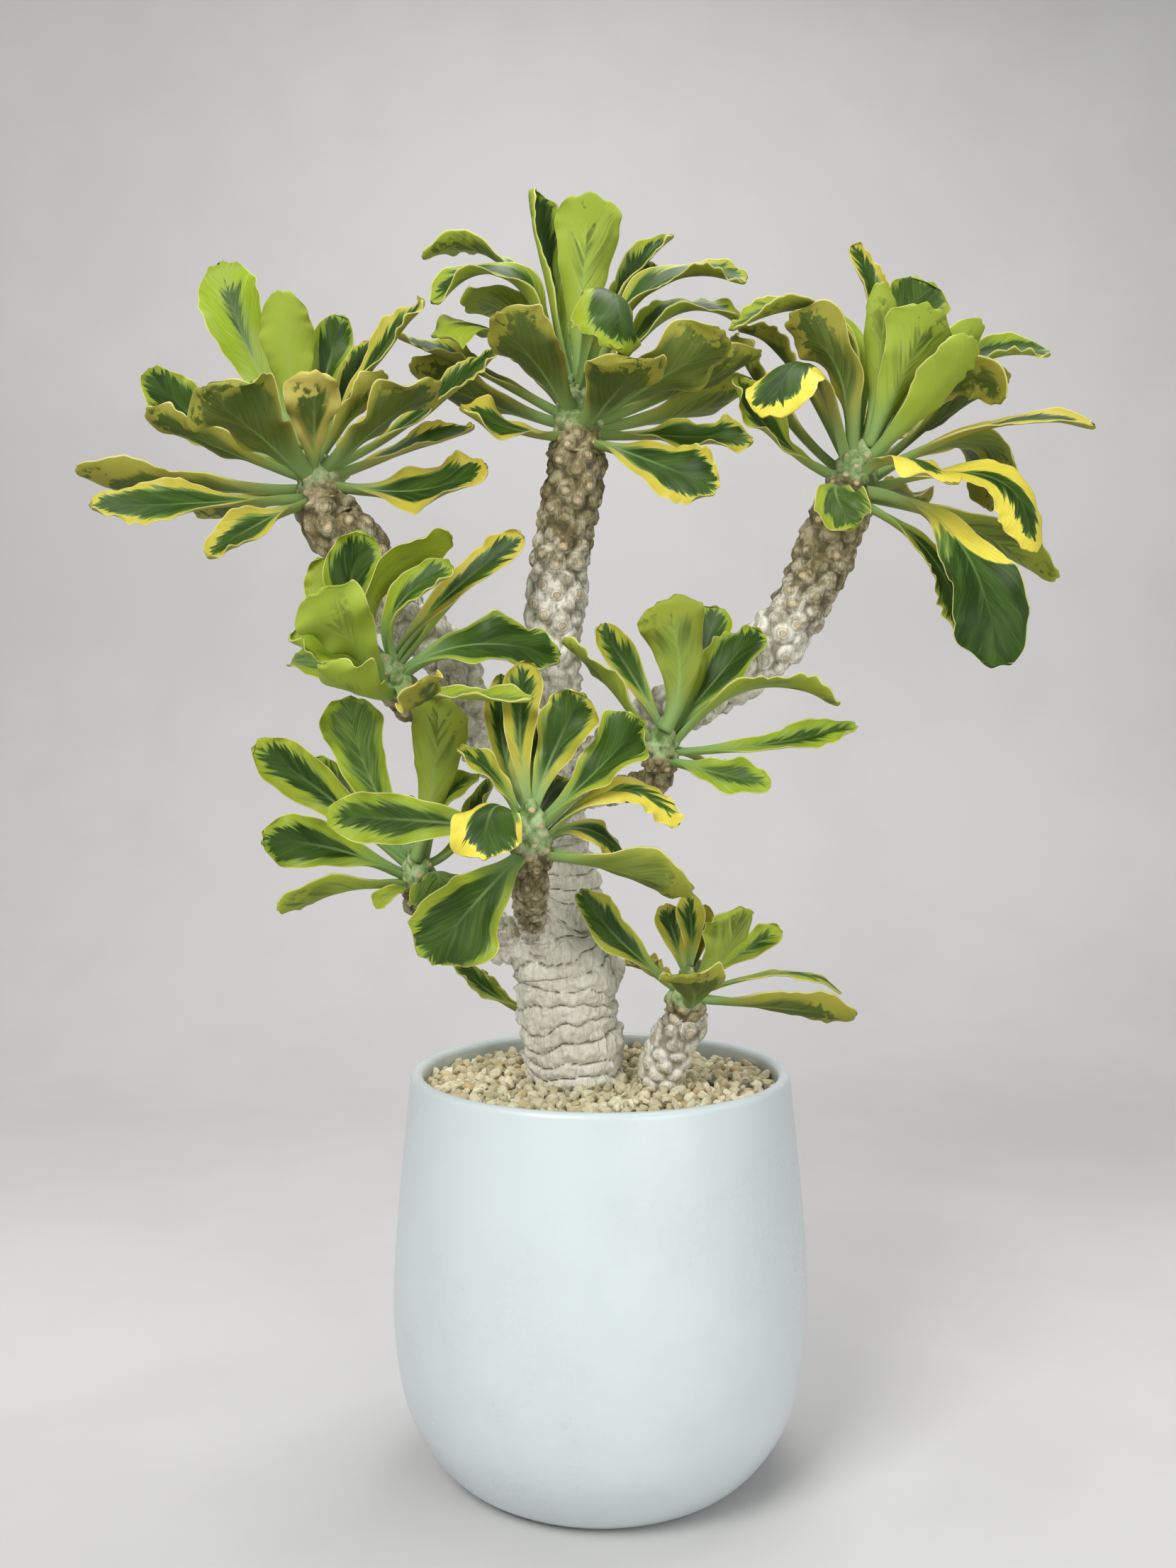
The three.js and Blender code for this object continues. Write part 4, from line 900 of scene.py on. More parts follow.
# %% Table of leaves
# For each rosette: "at" is the middle of the growing tip as [across, up, toward the front] in the front view,
# "grows" is the way it points, and "tip" its radius at the leaves, its radius above them and its reach below
# and above. Each leaf is a row: height of its root on the tip, middle point, tip point, width, fold in
# degrees, roll of its upper face to the front in degrees, the side it stands on in degrees from the front
# (None: the side it leans to), and how far along it is widest. Leaf points are measured from "at".
ROSETTES = {
    "rosette_top_left": {
        "at": [-180, 630, 0], "grows": [-0.3, 0, 0.95], "seed": 51,
        "tip": {"radius": 15, "top": 9, "below": 24, "above": 24},
        "leaves": [
            [12, [-40, 73, -20], [-58, 131, -30], 42, 25, 0, 180, 0.82],
            [14, [-14, 60, 6], [-21, 113, 14], 35, 35, 0, 0, 0.7],
            [12, [5, 51, -6], [18, 97, -6], 28, 50, 30, 150, 0.8],
            [4, [-68, 28, -15], [-104, 64, -5], 34, 20, 70, None, 0.74],
            [-2, [-62, 17, 8], [-106, 38, 12], 26, 30, -30, None, 0.7],
            [-3, [-30, 21, 38], [-68, 52, 75], 60, 20, 0, None, 0.8],
            [2, [-1, 26, 30], [-1, 63, 48], 37, 20, 0, 0, 0.8],
            [-1, [38, 29, 35], [77, 58, 60], 42, 25, -10, None, 0.8],
            [5, [21, 34, 10], [44, 62, 12], 22, 40, 0, 40, 0.74],
            [8, [16, 42, -18], [33, 82, -32], 30, 20, 0, 150, 0.74],
            [10, [30, 58, 4], [68, 108, 14], 28, 40, 40, None, 0.7],
            [0, [64, 34, 12], [116, 80, 27], 27, 30, 40, None, 0.65],
            [-4, [52, 12, -20], [100, 30, -30], 34, 30, 30, None, 0.7],
            [-8, [62, -12, 20], [108, 4, 35], 42, 20, 45, None, 0.6],
            [-8, [-84, -9, -6], [-151, 0, 2], 32, 30, -30, None, 0.7],
            [-14, [-78, -20, 20], [-142, -22, 35], 38, 20, 50, None, 0.7],
            [-16, [-36, -33, 25], [-69, -53, 40], 30, 40, 50, None, 0.65],
            [-12, [-45, -22, -30], [-75, -28, -50], 30, 30, -30, None, 0.7],
            [4, [-15, 40, -50], [-25, 70, -95], 40, 25, 0, None, 0.74],
            [-4, [25, 18, -50], [45, 35, -100], 38, 25, 0, None, 0.74],
            [-10, [5, -5, -55], [10, -15, -105], 36, 25, 0, None, 0.74],
        ],
    },
    "rosette_top_centre": {
        "at": [-14, 665, 0], "grows": [0.05, 0, 1], "seed": 52,
        "tip": {"radius": 17, "top": 10, "below": 26, "above": 28},
        "leaves": [
            [20, [3, 82, 4], [8, 138, 12], 44, 25, 0, 0, 0.9],
            [18, [-18, 84, -8], [-28, 140, -10], 34, 60, 0, -120, 0.85],
            [16, [20, 76, 48], [26, 42, 84], 54, -70, 0, 0, 0.78],
            [12, [-46, 94, -25], [-98, 98, -30], 26, 30, -15, None, 0.7],
            [10, [-42, 86, 2], [-92, 70, 8], 36, 35, 25, None, 0.65],
            [6, [-52, 52, 5], [-92, 50, 12], 42, -20, 25, None, 0.75],
            [6, [-35, 60, -25], [-72, 66, -40], 44, 30, -20, None, 0.74],
            [2, [-26, 34, 38], [-52, 63, 60], 46, 25, -10, None, 0.72],
            [0, [-69, 31, -15], [-113, 50, -25], 30, 40, 20, None, 0.74],
            [-4, [-62, 11, -25], [-106, 32, -35], 38, 25, -40, None, 0.7],
            [-12, [-42, -8, 25], [-74, 6, 40], 36, 20, 40, None, 0.65],
            [-6, [21, 14, 45], [36, 34, 80], 52, 25, 0, None, 0.85],
            [0, [51, 24, 22], [93, 51, 34], 44, 25, -40, None, 0.7],
            [-4, [64, 16, -5], [115, 39, -10], 30, 40, -20, None, 0.7],
            [-6, [64, 2, -25], [109, 20, -40], 36, 30, -30, None, 0.7],
            [-10, [64, -13, 15], [110, -14, 25], 36, 20, 40, None, 0.7],
            [-14, [49, -30, 40], [88, -46, 55], 38, 15, 60, None, 0.74],
            [4, [55, 62, -10], [100, 58, -15], 32, 40, 25, None, 0.7],
            [12, [44, 79, -5], [106, 84, -5], 36, 35, 25, None, 0.7],
            [14, [28, 78, -24], [59, 113, -34], 22, 60, 0, None, 0.7],
            [10, [30, 70, -25], [50, 92, -32], 28, 40, 20, None, 0.74],
            [8, [8, 36, -45], [10, 55, -90], 40, 25, 0, None, 0.74],
            [0, [-20, 22, -45], [-33, 40, -85], 38, 25, 0, None, 0.74],
            [-4, [30, 12, -45], [50, 26, -90], 36, 25, 0, None, 0.74],
        ],
    },
    "rosette_top_right": {
        "at": [161, 630, 0], "grows": [0.35, 0, 0.94], "seed": 53,
        "tip": {"radius": 16, "top": 9, "below": 24, "above": 26},
        "leaves": [
            [18, [15, 71, 6], [15, 118, 8], 24, 60, 0, 0, 0.7],
            [16, [28, 60, 15], [48, 103, 25], 46, 30, 0, 20, 0.88],
            [8, [46, 47, 30], [73, 84, 45], 36, 25, 0, None, 0.74],
            [16, [24, 70, -15], [44, 119, -25], 42, 20, 0, 180, 0.88],
            [18, [16, 82, -34], [-2, 142, -46], 20, 60, 0, 180, 0.8],
            [6, [44, 57, 5], [79, 92, 0], 24, 30, -60, 90, 0.8],
            [6, [62, 63, -5], [122, 74, -5], 28, 40, 30, None, 0.74],
            [2, [60, 58, 12], [91, 42, 16], 32, -30, -30, None, 0.74],
            [0, [58, 38, -20], [97, 58, -25], 34, 30, -40, None, 0.74],
            [-2, [85, 29, 16], [151, 29, 24], 26, 25, 30, None, 0.85],
            [-4, [70, 21, -6], [102, -6, -4], 34, -20, -20, None, 0.74],
            [-6, [66, 18, -40], [88, -25, -52], 44, -20, 0, None, 0.74],
            [-8, [86, -4, 14], [110, -51, 24], 34, -20, 55, None, 0.74],
            [-4, [27, 9, 35], [62, -8, 70], 40, -25, 20, None, 0.74],
            [12, [-15, 95, 5], [-80, 88, 8], 30, 40, 20, None, 0.65],
            [14, [-4, 84, -20], [-39, 92, -28], 30, 40, 20, None, 0.74],
            [8, [-12, 67, 15], [-44, 94, 20], 38, 30, -30, None, 0.8],
            [2, [-30, 67, 25], [-55, 33, 50], 48, -30, 0, None, 0.78],
            [-6, [-48, 20, 5], [-76, 58, 5], 34, 25, 45, None, 0.7],
            [-14, [-13, -13, 30], [-1, -37, 50], 34, 20, 20, None, 0.7],
            [-16, [47, -52, 15], [68, -101, 20], 28, 20, 50, None, 0.7],
            [-10, [62, -40, 35], [91, -123, 60], 48, 15, 60, None, 0.78],
            [-12, [76, -36, -10], [127, -68, -15], 30, 20, -30, None, 0.65],
            [4, [-44, 70, -20], [-75, 90, -28], 26, 50, 0, None, 0.8],
            [-2, [-48, 38, -25], [-77, 85, -34], 28, 40, -20, None, 0.8],
            [4, [15, 20, -50], [30, 48, -95], 38, 25, 0, None, 0.74],
            [-8, [20, -10, -50], [40, -18, -95], 34, 25, 0, None, 0.74],
        ],
    },
    "rosette_mid_left": {
        "at": [-132, 501, 50], "grows": [-0.3, -0.6, 0.7], "seed": 54,
        "tip": {"radius": 12, "top": 8, "below": 16, "above": 16},
        "leaves": [
            [6, [-30, 37, -15], [-44, 75, -20], 32, 20, 0, 180, 0.74],
            [8, [-26, 46, -5], [-14, 89, 0], 36, 40, 0, 180, 0.74],
            [0, [-26, 24, 30], [-50, 52, 50], 46, 20, -50, None, 0.78],
            [-4, [-32, 10, 12], [-64, 27, 20], 34, 40, 0, None, 0.74],
            [-6, [-19, -9, 35], [-44, 7, 60], 40, 45, 0, None, 0.74],
            [6, [-10, 55, 10], [39, 86, 10], 32, 20, 20, -90, 0.74],
            [8, [2, 42, 14], [39, 69, 20], 26, 50, 0, None, 0.74],
            [8, [28, 44, -10], [83, 89, -10], 24, 30, 20, None, 0.74],
            [4, [30, 39, -22], [62, 74, -34], 26, 50, -40, None, 0.74],
            [0, [50, 20, 10], [107, 12, 2], 40, 20, 10, None, 0.6],
            [-2, [16, -16, 45], [20, 0, 80], 30, 20, 0, None, 0.74],
            [-8, [44, -12, 30], [89, -14, 50], 18, 50, -20, None, 0.7],
            [-4, [-35, 5, -35], [-60, 15, -75], 30, 25, 0, None, 0.74],
        ],
    },
    "rosette_mid_right": {
        "at": [39, 459, 40], "grows": [0.1, -0.35, 0.93], "seed": 55,
        "tip": {"radius": 11, "top": 7, "below": 16, "above": 16},
        "leaves": [
            [0, [-32, 36, 10], [-63, 65, 15], 26, 30, -30, None, 0.65],
            [6, [-20, 44, -10], [-40, 74, -15], 22, 40, 0, 180, 0.7],
            [8, [11, 44, 5], [1, 91, 10], 44, 30, 0, 0, 0.9],
            [6, [22, 44, -22], [33, 86, -34], 30, 20, 0, 160, 0.85],
            [4, [32, 38, -5], [60, 73, -10], 38, 20, 0, 140, 0.78],
            [0, [56, 36, 10], [113, 25, 15], 34, 25, -30, None, 0.6],
            [-4, [65, -1, 5], [123, 11, 5], 20, 30, 30, None, 0.7],
            [-8, [34, -19, 25], [69, -27, 40], 24, 20, 40, None, 0.65],
            [-2, [20, -8, -40], [38, -22, -85], 28, 25, 0, None, 0.74],
        ],
    },
    "rosette_front": {
        "at": [-44, 402, 90], "grows": [0, -0.3, 0.95], "seed": 56,
        "tip": {"radius": 12, "top": 8, "below": 20, "above": 20},
        "leaves": [
            [10, [-7, 61, -5], [-2, 108, -10], 24, 20, 0, 180, 0.78],
            [10, [13, 48, -5], [33, 88, -5], 34, 20, 0, 170, 0.8],
            [6, [40, 38, 5], [71, 71, 10], 42, 20, 30, None, 0.85],
            [-4, [55, 27, 5], [93, 4, 8], 20, -10, 30, None, 0.7],
            [-6, [37, 2, -15], [64, -23, -18], 28, -20, 20, None, 0.6],
            [-10, [55, -22, 10], [103, -38, 20], 36, 30, -60, None, 0.7],
            [0, [-22, 17, 25], [-31, -17, 50], 42, -25, 0, None, 0.72],
            [6, [-22, 34, 5], [-46, 54, 5], 18, 30, 20, None, 0.65],
            [8, [-17, 52, -20], [-17, 100, -28], 20, 20, 0, 180, 0.74],
            [0, [-53, 6, 15], [-130, 10, 25], 30, 15, 70, None, 0.7],
            [-9, [-37, -47, 32], [-66, -83, 45], 50, 10, 60, None, 0.72],
            [6, [1, 43, -20], [12, 74, -32], 14, 30, 0, 180, 0.74],
            [0, [8, 18, -38], [20, 36, -70], 30, 25, 0, None, 0.74],
        ],
    },
    "rosette_low_left": {
        "at": [-116, 378, 20], "grows": [-0.1, -0.3, 0.95], "seed": 57,
        "tip": {"radius": 12, "top": 8, "below": 16, "above": 16},
        "leaves": [
            [4, [-60, 49, 0], [-103, 80, 5], 32, 20, 60, None, 0.74],
            [8, [-30, 58, 0], [-44, 110, 5], 40, 30, 0, 180, 0.85],
            [-2, [-55, 14, 15], [-99, 19, 25], 34, 20, 60, None, 0.78],
            [-6, [-51, -12, 20], [-88, -27, 30], 28, 35, -50, None, 0.74],
            [-10, [-17, -14, 15], [-27, -24, 15], 12, 30, 40, None, 0.74],
            [-4, [13, -3, 30], [10, -26, 55], 44, -40, 0, None, 0.74],
            [8, [10, 53, 14], [14, 110, 35], 38, 30, 0, 0, 0.85],
            [6, [17, 44, 10], [39, 60, 10], 18, 30, 30, None, 0.74],
            [4, [27, 20, -10], [46, 58, -15], 22, 40, 0, None, 0.74],
            [6, [-45, 45, -20], [-64, 72, -28], 22, 30, 40, None, 0.74],
            [4, [-5, 20, -40], [-15, 45, -75], 30, 25, 0, None, 0.74],
        ],
    },
    "rosette_side_plant": {
        "at": [55, 301, 38], "grows": [0.1, -0.2, 0.97], "seed": 58,
        "tip": {"radius": 12, "top": 8, "below": 16, "above": 16},
        "leaves": [
            [2, [-40, 30, 5], [-68, 64, 10], 26, 20, 50, None, 0.65],
            [6, [-7, 32, -10], [-15, 55, -15], 20, 30, 0, 180, 0.74],
            [8, [3, 35, -5], [0, 62, -5], 18, 20, 0, 180, 0.74],
            [8, [8, 32, -12], [11, 55, -18], 14, 30, 0, 180, 0.74],
            [4, [22, 27, 12], [33, 54, 22], 38, 25, 0, 30, 0.78],
            [4, [32, 23, -10], [60, 39, -15], 18, 30, 40, None, 0.78],
            [0, [63, 12, 5], [99, -1, 5], 14, -20, 0, None, 0.74],
            [-2, [66, -10, 15], [108, -15, 20], 26, 30, -60, None, 0.65],
            [-4, [5, -1, 25], [0, 11, 50], 40, 30, 0, 0, 0.74],
            [0, [10, 14, -40], [18, 18, -75], 26, 25, 0, None, 0.74],
            [0, [-20, 12, -40], [-33, 20, -75], 24, 25, 0, None, 0.74],
        ],
    },
    "rosette_basal_shoot": {
        "at": [-34, 284, -46], "grows": [-0.2, 0.3, 0.9], "seed": 59,
        "tip": {"radius": 8, "top": 6, "below": 10, "above": 10},
        "leaves": [
            [2, [-32, 14, 0], [-60, 38, 0], 20, 30, 60, None, 0.74],
            [4, [-26, 13, -6], [-43, 30, -8], 10, 60, 0, None, 0.74],
            [0, [20, 20, -25], [35, 40, -50], 22, 30, 0, None, 0.74],
            [2, [-5, 25, -30], [-10, 50, -55], 24, 30, 0, None, 0.74],
        ],
    },
}
print("rosettes:", len(ROSETTES))

# %% Trunk with stacked ridges
TRUNK_STEP = 1.0
TRUNK_COLUMNS = 160
RIDGE_PITCH = 10.5
RIDGE_HEIGHT = 4.2
CRACK_DEPTH = 0.7
PLEAT_DEPTH = 1.1
BULGE_HEIGHT = 1.2
LUMP_HEIGHT = 0.6
GRAIN_HEIGHT = 0.2
NO_SCAR = 40.0


def growth_of(rosette):
    return unit(np.array(rosette["grows"], float))


def branch_points(row, rosette):
    """The named points, then two in line with the rosette's growing tip, the last a little way inside it."""
    growth = growth_of(rosette)
    below = rosette["tip"]["below"]
    end = seen(rosette["at"]) - growth * below
    return np.vstack([seen(row["line"]), end - growth * below / 2, end + growth * TIP_OVERLAP])


def trunk_rings():
    """Turns = the distance along, shifted by slow waves round the trunk, in ridge pitches. Height = a rounded
    saw wave of the turns, less a crack between ridges and upright pleats that are deeper on the ridges'
    crests, plus bulges, lumps and a fine grain. The material reads the same three values as on the limbs,
    with no scars."""
    line, radius, reached = tube_line(TRUNK_LINE, TRUNK_RADII, TRUNK_STEP)
    angle, outward, base = round_tube(line, radius, TRUNK_COLUMNS)
    drift = waves_3d(base, 50, 71) * 3.0 + waves_3d(base, 17, 72) * 1.3
    turns = (reached[:, None] + drift) / RIDGE_PITCH
    ridge_number = np.floor(turns)
    part = turns - ridge_number
    along_ridge = np.stack([angle * 30, 0 * angle, ridge_number * 40], -1)
    swollen = blend(0.7, 1.15, 0.5 + 0.5 * waves_3d(along_ridge, 24, 73))
    ridge = np.clip(1 - np.abs(2 * part ** 1.25 - 1) ** 2.4, 0, 1) ** 0.5 * swollen
    crack = smooth_step(0.0, 0.07, np.minimum(part, 1 - part))
    pleats = np.stack([angle * 30, reached[:, None] * 0.15 + 0 * angle, ridge_number * 5], -1)
    upright = np.abs(waves_3d(pleats, 3.2, 74))
    bulge = np.maximum(waves_3d(base * [1, 1, 1.5], 9, 77), 0)
    lump = waves_3d(base, 12, 75)
    fine = waves_3d(base, 2.4, 76)
    height = RIDGE_HEIGHT * (ridge - 0.62) - CRACK_DEPTH * (1 - crack) - PLEAT_DEPTH * upright * ridge
    height = height + LUMP_HEIGHT * lump + GRAIN_HEIGHT * fine + BULGE_HEIGHT * bulge
    # How open to the sky each point lies, which the bark colours as painted shade
    open_sky = np.clip(0.5 + 0.7 * ridge * crack - 0.4 * (1 - crack) - 0.25 * upright, 0, 1)
    bark = np.stack([np.full(angle.shape, NO_SCAR), open_sky, 0.5 + 0.3 * lump], -1)
    return base + outward * height[..., None], bark


print("trunk:", len(TRUNK_LINE), "points on its line")

# %% Trunk and limbs
BRANCH_SEED = 31
SIDE_STEM_SEED = 39
STUB_SEED = 51
GREYEST_LIMB = 0.62


def limb_rings(points, row, seed):
    """A limb's skin, its bark values and the part of its length reached at each ring."""
    line, radius, reached = tube_line(points, row["radii"], STEP_ALONG)
    part = reached / reached[-1]
    worn = 1 - smooth_step(row["worn"] - 0.12, row["worn"] + 0.15, part)
    rings, bark = knobbly_rings(line, radius, reached, row["size"], row["depth"], seed, worn)
    return rings, bark, part


def make_trunk():
    """The trunk, its limbs and its stubs in one mesh. Age = 1 on trunk and stubs. On a limb it falls from
    GREYEST_LIMB to 0 over the part that is young."""
    skin = Skin()
    rings, bark = trunk_rings()
    skin.add(rings, bark=bark, age=1.0)
    for number, (name, row) in enumerate(BRANCHES.items()):
        rings, bark, part = limb_rings(branch_points(row, ROSETTES[name]), row, BRANCH_SEED + number)
        age = GREYEST_LIMB * (1 - smooth_step(1 - row["young"], 1 - 0.2 * row["young"], part))
        skin.add(rings, bark=bark, age=age[:, None])
    for number, row in enumerate(STUBS):
        rings, bark, _ = limb_rings(seen(row["line"]), row, STUB_SEED + number)
        skin.add(rings, bark=bark, age=1.0)
    return skin.build("bark_of_trunk_and_branches")


def make_side_stem():
    """The smaller plant's stem, with cushions all the way down. Age falls from 1 to 0.4 towards its tip."""
    skin = Skin()
    points = branch_points(SIDE_STEM, ROSETTES["rosette_side_plant"])
    rings, bark, part = limb_rings(points, SIDE_STEM, SIDE_STEM_SEED)
    skin.add(rings, bark=bark, age=(1 - 0.6 * smooth_step(0.3, 0.9, part))[:, None])
    return skin.build("bark_of_side_stem")


trunk = make_trunk()
side_stem = make_side_stem()
for piece, cad_node in ((trunk, "trunk_and_branches"), (side_stem, "side_stem")):
    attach(piece, "root")
    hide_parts(cad_node)

# %% [markdown]
# ### Bark
# The bark reads three values that came with its surface: the distance to the middle of the nearest scar, how
# open to the sky the point lies, and a number that differs from cushion to cushion. Two more say how old and
# how green the stem is there. Scars are a tan disc with a thin darker ring and a dot. Creases, pleat grooves
# and the groove round each scar are darkened with painted shade, by how little sky they see. Old bark is
# paler and greyer, and at the growing tips the cushions are still green. The tips are part of the leaf
# pieces, so the colours are a group that both finishes use.

# %% Bark palette
OLD_BARK = colour("e0dcca"), colour("f6f3e7")
YOUNG_BARK = colour("6a5f3a"), colour("958a60")
# Painted shade: the colours of crevices, where the bark sees little sky
OLD_CREVICE_SHADE = colour("8a8265")
YOUNG_CREVICE_SHADE = colour("3a321c")
BARK_FLECK = colour("e0dccd")
BARK_CREST = colour("cfc5a4")
SCAR_TAN = colour("a8956c"), colour("d3bf98")
SCAR_RING = colour("75623f")
TIP_GREEN = colour("6a8648"), colour("a9bb88")
# Painted shade for the creases between the green cushions of the tips
TIP_CREASE_SHADE = colour("4a5c31")
print("bark palette ready")

# %% Group: cushioned bark
def make_cushion_colours():
    """Color = young to old bark by Age, darkened with painted shade in creases, pleat grooves and the groove
    round each scar, and paler on crests, with the scars over it, and greener by Green. Height = a fine grain
    that is drawn out along the stem, with upright pleats."""
    inputs = {"Place": "Vector", "Bark": "Vector", "Age": "Float", "Green": "Float"}
    group, given, out = node_group("cushion_colours", inputs, {"Color": "Color", "Height": "Float"})
    place = given["Place"]
    scar, open_sky, random = parts_of(group, given["Bark"])
    cloud = mottled(group, place, 70.0)
    grain = noise(group, scaled(group, place, (1.0, 1.0, 0.3)), 620.0, 3, 0.65)
    pleats = noise(group, scaled(group, place, (1.0, 1.0, 0.22)), 360.0, 1, 0.5)

    # Skin: young to old, a pale fleck of grain, painted shade in crevices and pleat grooves, and crests
    aged = plus(group, given["Age"], maths(group, "SUBTRACT", cloud, 0.5), 0.3)
    age_mask = ramp(group, aged, 0.0, 0.75)
    skin = mixed(group, age_mask, mixed(group, cloud, *YOUNG_BARK), mixed(group, cloud, *OLD_BARK))
    skin = mixed(group, ramp(group, grain, 0.55, 0.75, 0.0, 0.4), skin, BARK_FLECK)
    crevice_shade = mixed(group, age_mask, YOUNG_CREVICE_SHADE, OLD_CREVICE_SHADE)
    # Painted shade: the crevice colour where the point sees little sky, and in the grooves between pleats
    skin = mixed(group, ramp(group, open_sky, 0.7, 0.05, 0.0, 0.9), skin, crevice_shade)
    skin = mixed(group, ramp(group, pleats, 0.5, 0.38, 0.0, 0.12), skin, crevice_shade)
    crest = times(group, ramp(group, open_sky, 0.8, 1.0, 0.0, 0.25), cloud)
    skin = mixed(group, crest, skin, BARK_CREST)
    # Painted shade in the groove that runs round each scar
    scar_groove_shade = times(group, ramp(group, scar, 1.9, 1.5), ramp(group, scar, 1.1, 1.5))
    skin = mixed(group, times(group, scar_groove_shade, 0.35), skin, crevice_shade)

    # Growing tip: green over the bark where Green says so, with painted shade in its creases
    greens = mixed(group, cloud, *TIP_GREEN)
    greens = mixed(group, ramp(group, open_sky, 0.6, 0.0, 0.0, 0.85), greens, TIP_CREASE_SHADE)
    skin = mixed(group, given["Green"], skin, greens)

    # Scars: a tan disc, darker in its ring and its dot, and fainter on some cushions
    disc = ramp(group, scar, 1.0, 0.88)
    ring = times(group, ramp(group, scar, 0.6, 0.9, 0.0, 0.6), disc)
    dot = ramp(group, scar, 0.34, 0.1, 0.0, 0.7)
    tan = mixed(group, maths(group, "MAXIMUM", ring, dot), mixed(group, random, *SCAR_TAN), SCAR_RING)
    seen_disc = times(group, disc, ramp(group, random, 0.15, 0.7, 0.3, 0.9))
    group.links.new(mixed(group, seen_disc, skin, tan), out["Color"])
    group.links.new(plus(group, grain, pleats, 1.6), out["Height"])
    return group


CUSHION_COLOURS = make_cushion_colours()
print("bark group made")

# %% Bark material
bark, tree, shader = new_material("cushion_bark")
given = {"Place": object_place(tree), "Bark": attribute(tree, "bark"), "Age": attribute(tree, "age", "Fac"),
         "Green": 0.0}
made = grouped(tree, CUSHION_COLOURS, given)
shade(tree, shader, made["Color"], 0.88, bump(tree, made["Height"], 0.0013, 1.0))
for piece in (trunk, side_stem):
    piece.data.materials.append(bark)
print("bark ready")

# %% [markdown]
# ## The leaf rosettes
# Each leaf stands on the growing tip of its stem. It is a fleshy stalk that opens into a paddle, widest near
# its end, with a fold along the middle and waved, crimped margins. Its middle line is a bow through a point
# that was read off the front view, and the CAD leaf is the same bow with fewer points. Here each leaf is a
# closed sheet on a fine grid.

# %% Bow of a leaf
BOW_STEPS = 33
ROLL_END = 0.6
# A tip narrows from this far below its middle, over this length
TIP_SPAN = (20, 42)


def leaf_root(rosette, row, through):
    """Where a leaf leaves the growing tip, and the way out of the tip there: towards the leaf's middle, or
    towards the side that its row names. The root lies halfway out in the tip, which narrows upwards."""
    root_height, side = row[0], row[6]
    growth = growth_of(rosette)
    root = seen(np.array(rosette["at"], float)) + growth * root_height
    if side is None:
        out = through - root
    else:
        out = np.array([np.sin(np.radians(side)), -np.cos(np.radians(side)), 0.0])
    out = unit(out - growth * out.dot(growth))
    shape = rosette["tip"]
    up_the_tip = np.clip((root_height + TIP_SPAN[0]) / TIP_SPAN[1], 0, 1)
    return root + out * 0.5 * blend(shape["radius"], 0.7 * shape["top"], up_the_tip), out


def leaf_line(rosette, row):
    """The bow of a leaf: for points along it, the part of its length reached, the point, the way the upper
    face looks and the way across, and its length. The bow is a parabola from the root to the tip point that
    passes the middle point. The upper face starts towards the growing tip, is carried without twist, then
    rolls."""
    _, middle, tip, _, _, roll, _, _ = row
    at = np.array(rosette["at"], float)
    growth = growth_of(rosette)
    through = seen(at + middle)
    end = seen(at + tip)
    root, out = leaf_root(rosette, row, through)
    pull = 2 * through - (root + end) / 2
    t = np.linspace(0, 1, BOW_STEPS)[:, None]
    point = (1 - t) ** 2 * root + 2 * t * (1 - t) * pull + t * t * end
    along = unit((1 - t) * (pull - root) + t * (end - pull))
    rise = np.arctan2(along[0].dot(out), along[0].dot(growth))
    upper = growth * np.sin(rise) - out * np.cos(rise)
    faces = []
    for direction in along:
        upper = unit(upper - direction * upper.dot(direction))
        faces.append(upper)
    upper = np.array(faces)
    across = np.cross(along, upper)
    reached = np.concatenate([[0], np.cumsum(np.linalg.norm(np.diff(point, axis=0), axis=1))])
    part = reached / reached[-1]
    frontward = 1 if across[BOW_STEPS // 2][1] < 0 else -1
    angle = (frontward * np.radians(roll) * smooth_step(0, ROLL_END, part))[:, None]
    turned_upper = upper * np.cos(angle) + across * np.sin(angle)
    turned_across = across * np.cos(angle) - upper * np.sin(angle)
    return part, point, turned_upper, turned_across, reached[-1]


print("leaves:", sum(len(rosette["leaves"]) for rosette in ROSETTES.values()))

# %% Outline and margin
# s runs from 0 at a leaf's root to 1 at its end, and u from -1 to 1 across the blade.
STALK_SHARE = 0.2
WAVE_HEIGHT = 0.24
CRIMP_LENGTHS = (9, 15)
CRIMP_HEIGHTS = (0.5, 1.4)


def drawer(seed):
    """Repeatable draws between 0 and 1, the same as the CAD leaves use."""
    state = seed
    while True:
        state = (state * 1664525 + 1013904223) % 4294967296
        yield state / 4294967296


def wedge(s, widest):
    """How far the blade has opened from its stalk, 0 to 1: half a straight wedge and half a smooth step."""
    return 0.5 * np.clip((s - 0.1) / (widest - 0.1), 0, 1) + 0.5 * smooth_step(0.12, widest, s)


def half_width(s, width, widest):
    """Half the leaf's width: its stalk's, opened by the wedge, then closed past the widest place in a round
    end."""
    past = np.clip(s - widest, 0, 1) / (1.02 - widest)
    opening = blend(STALK_SHARE, 1, wedge(s, widest))
    return width / 2 * opening * np.sqrt(np.clip(1 - past ** 2.4, 0.04, 1))


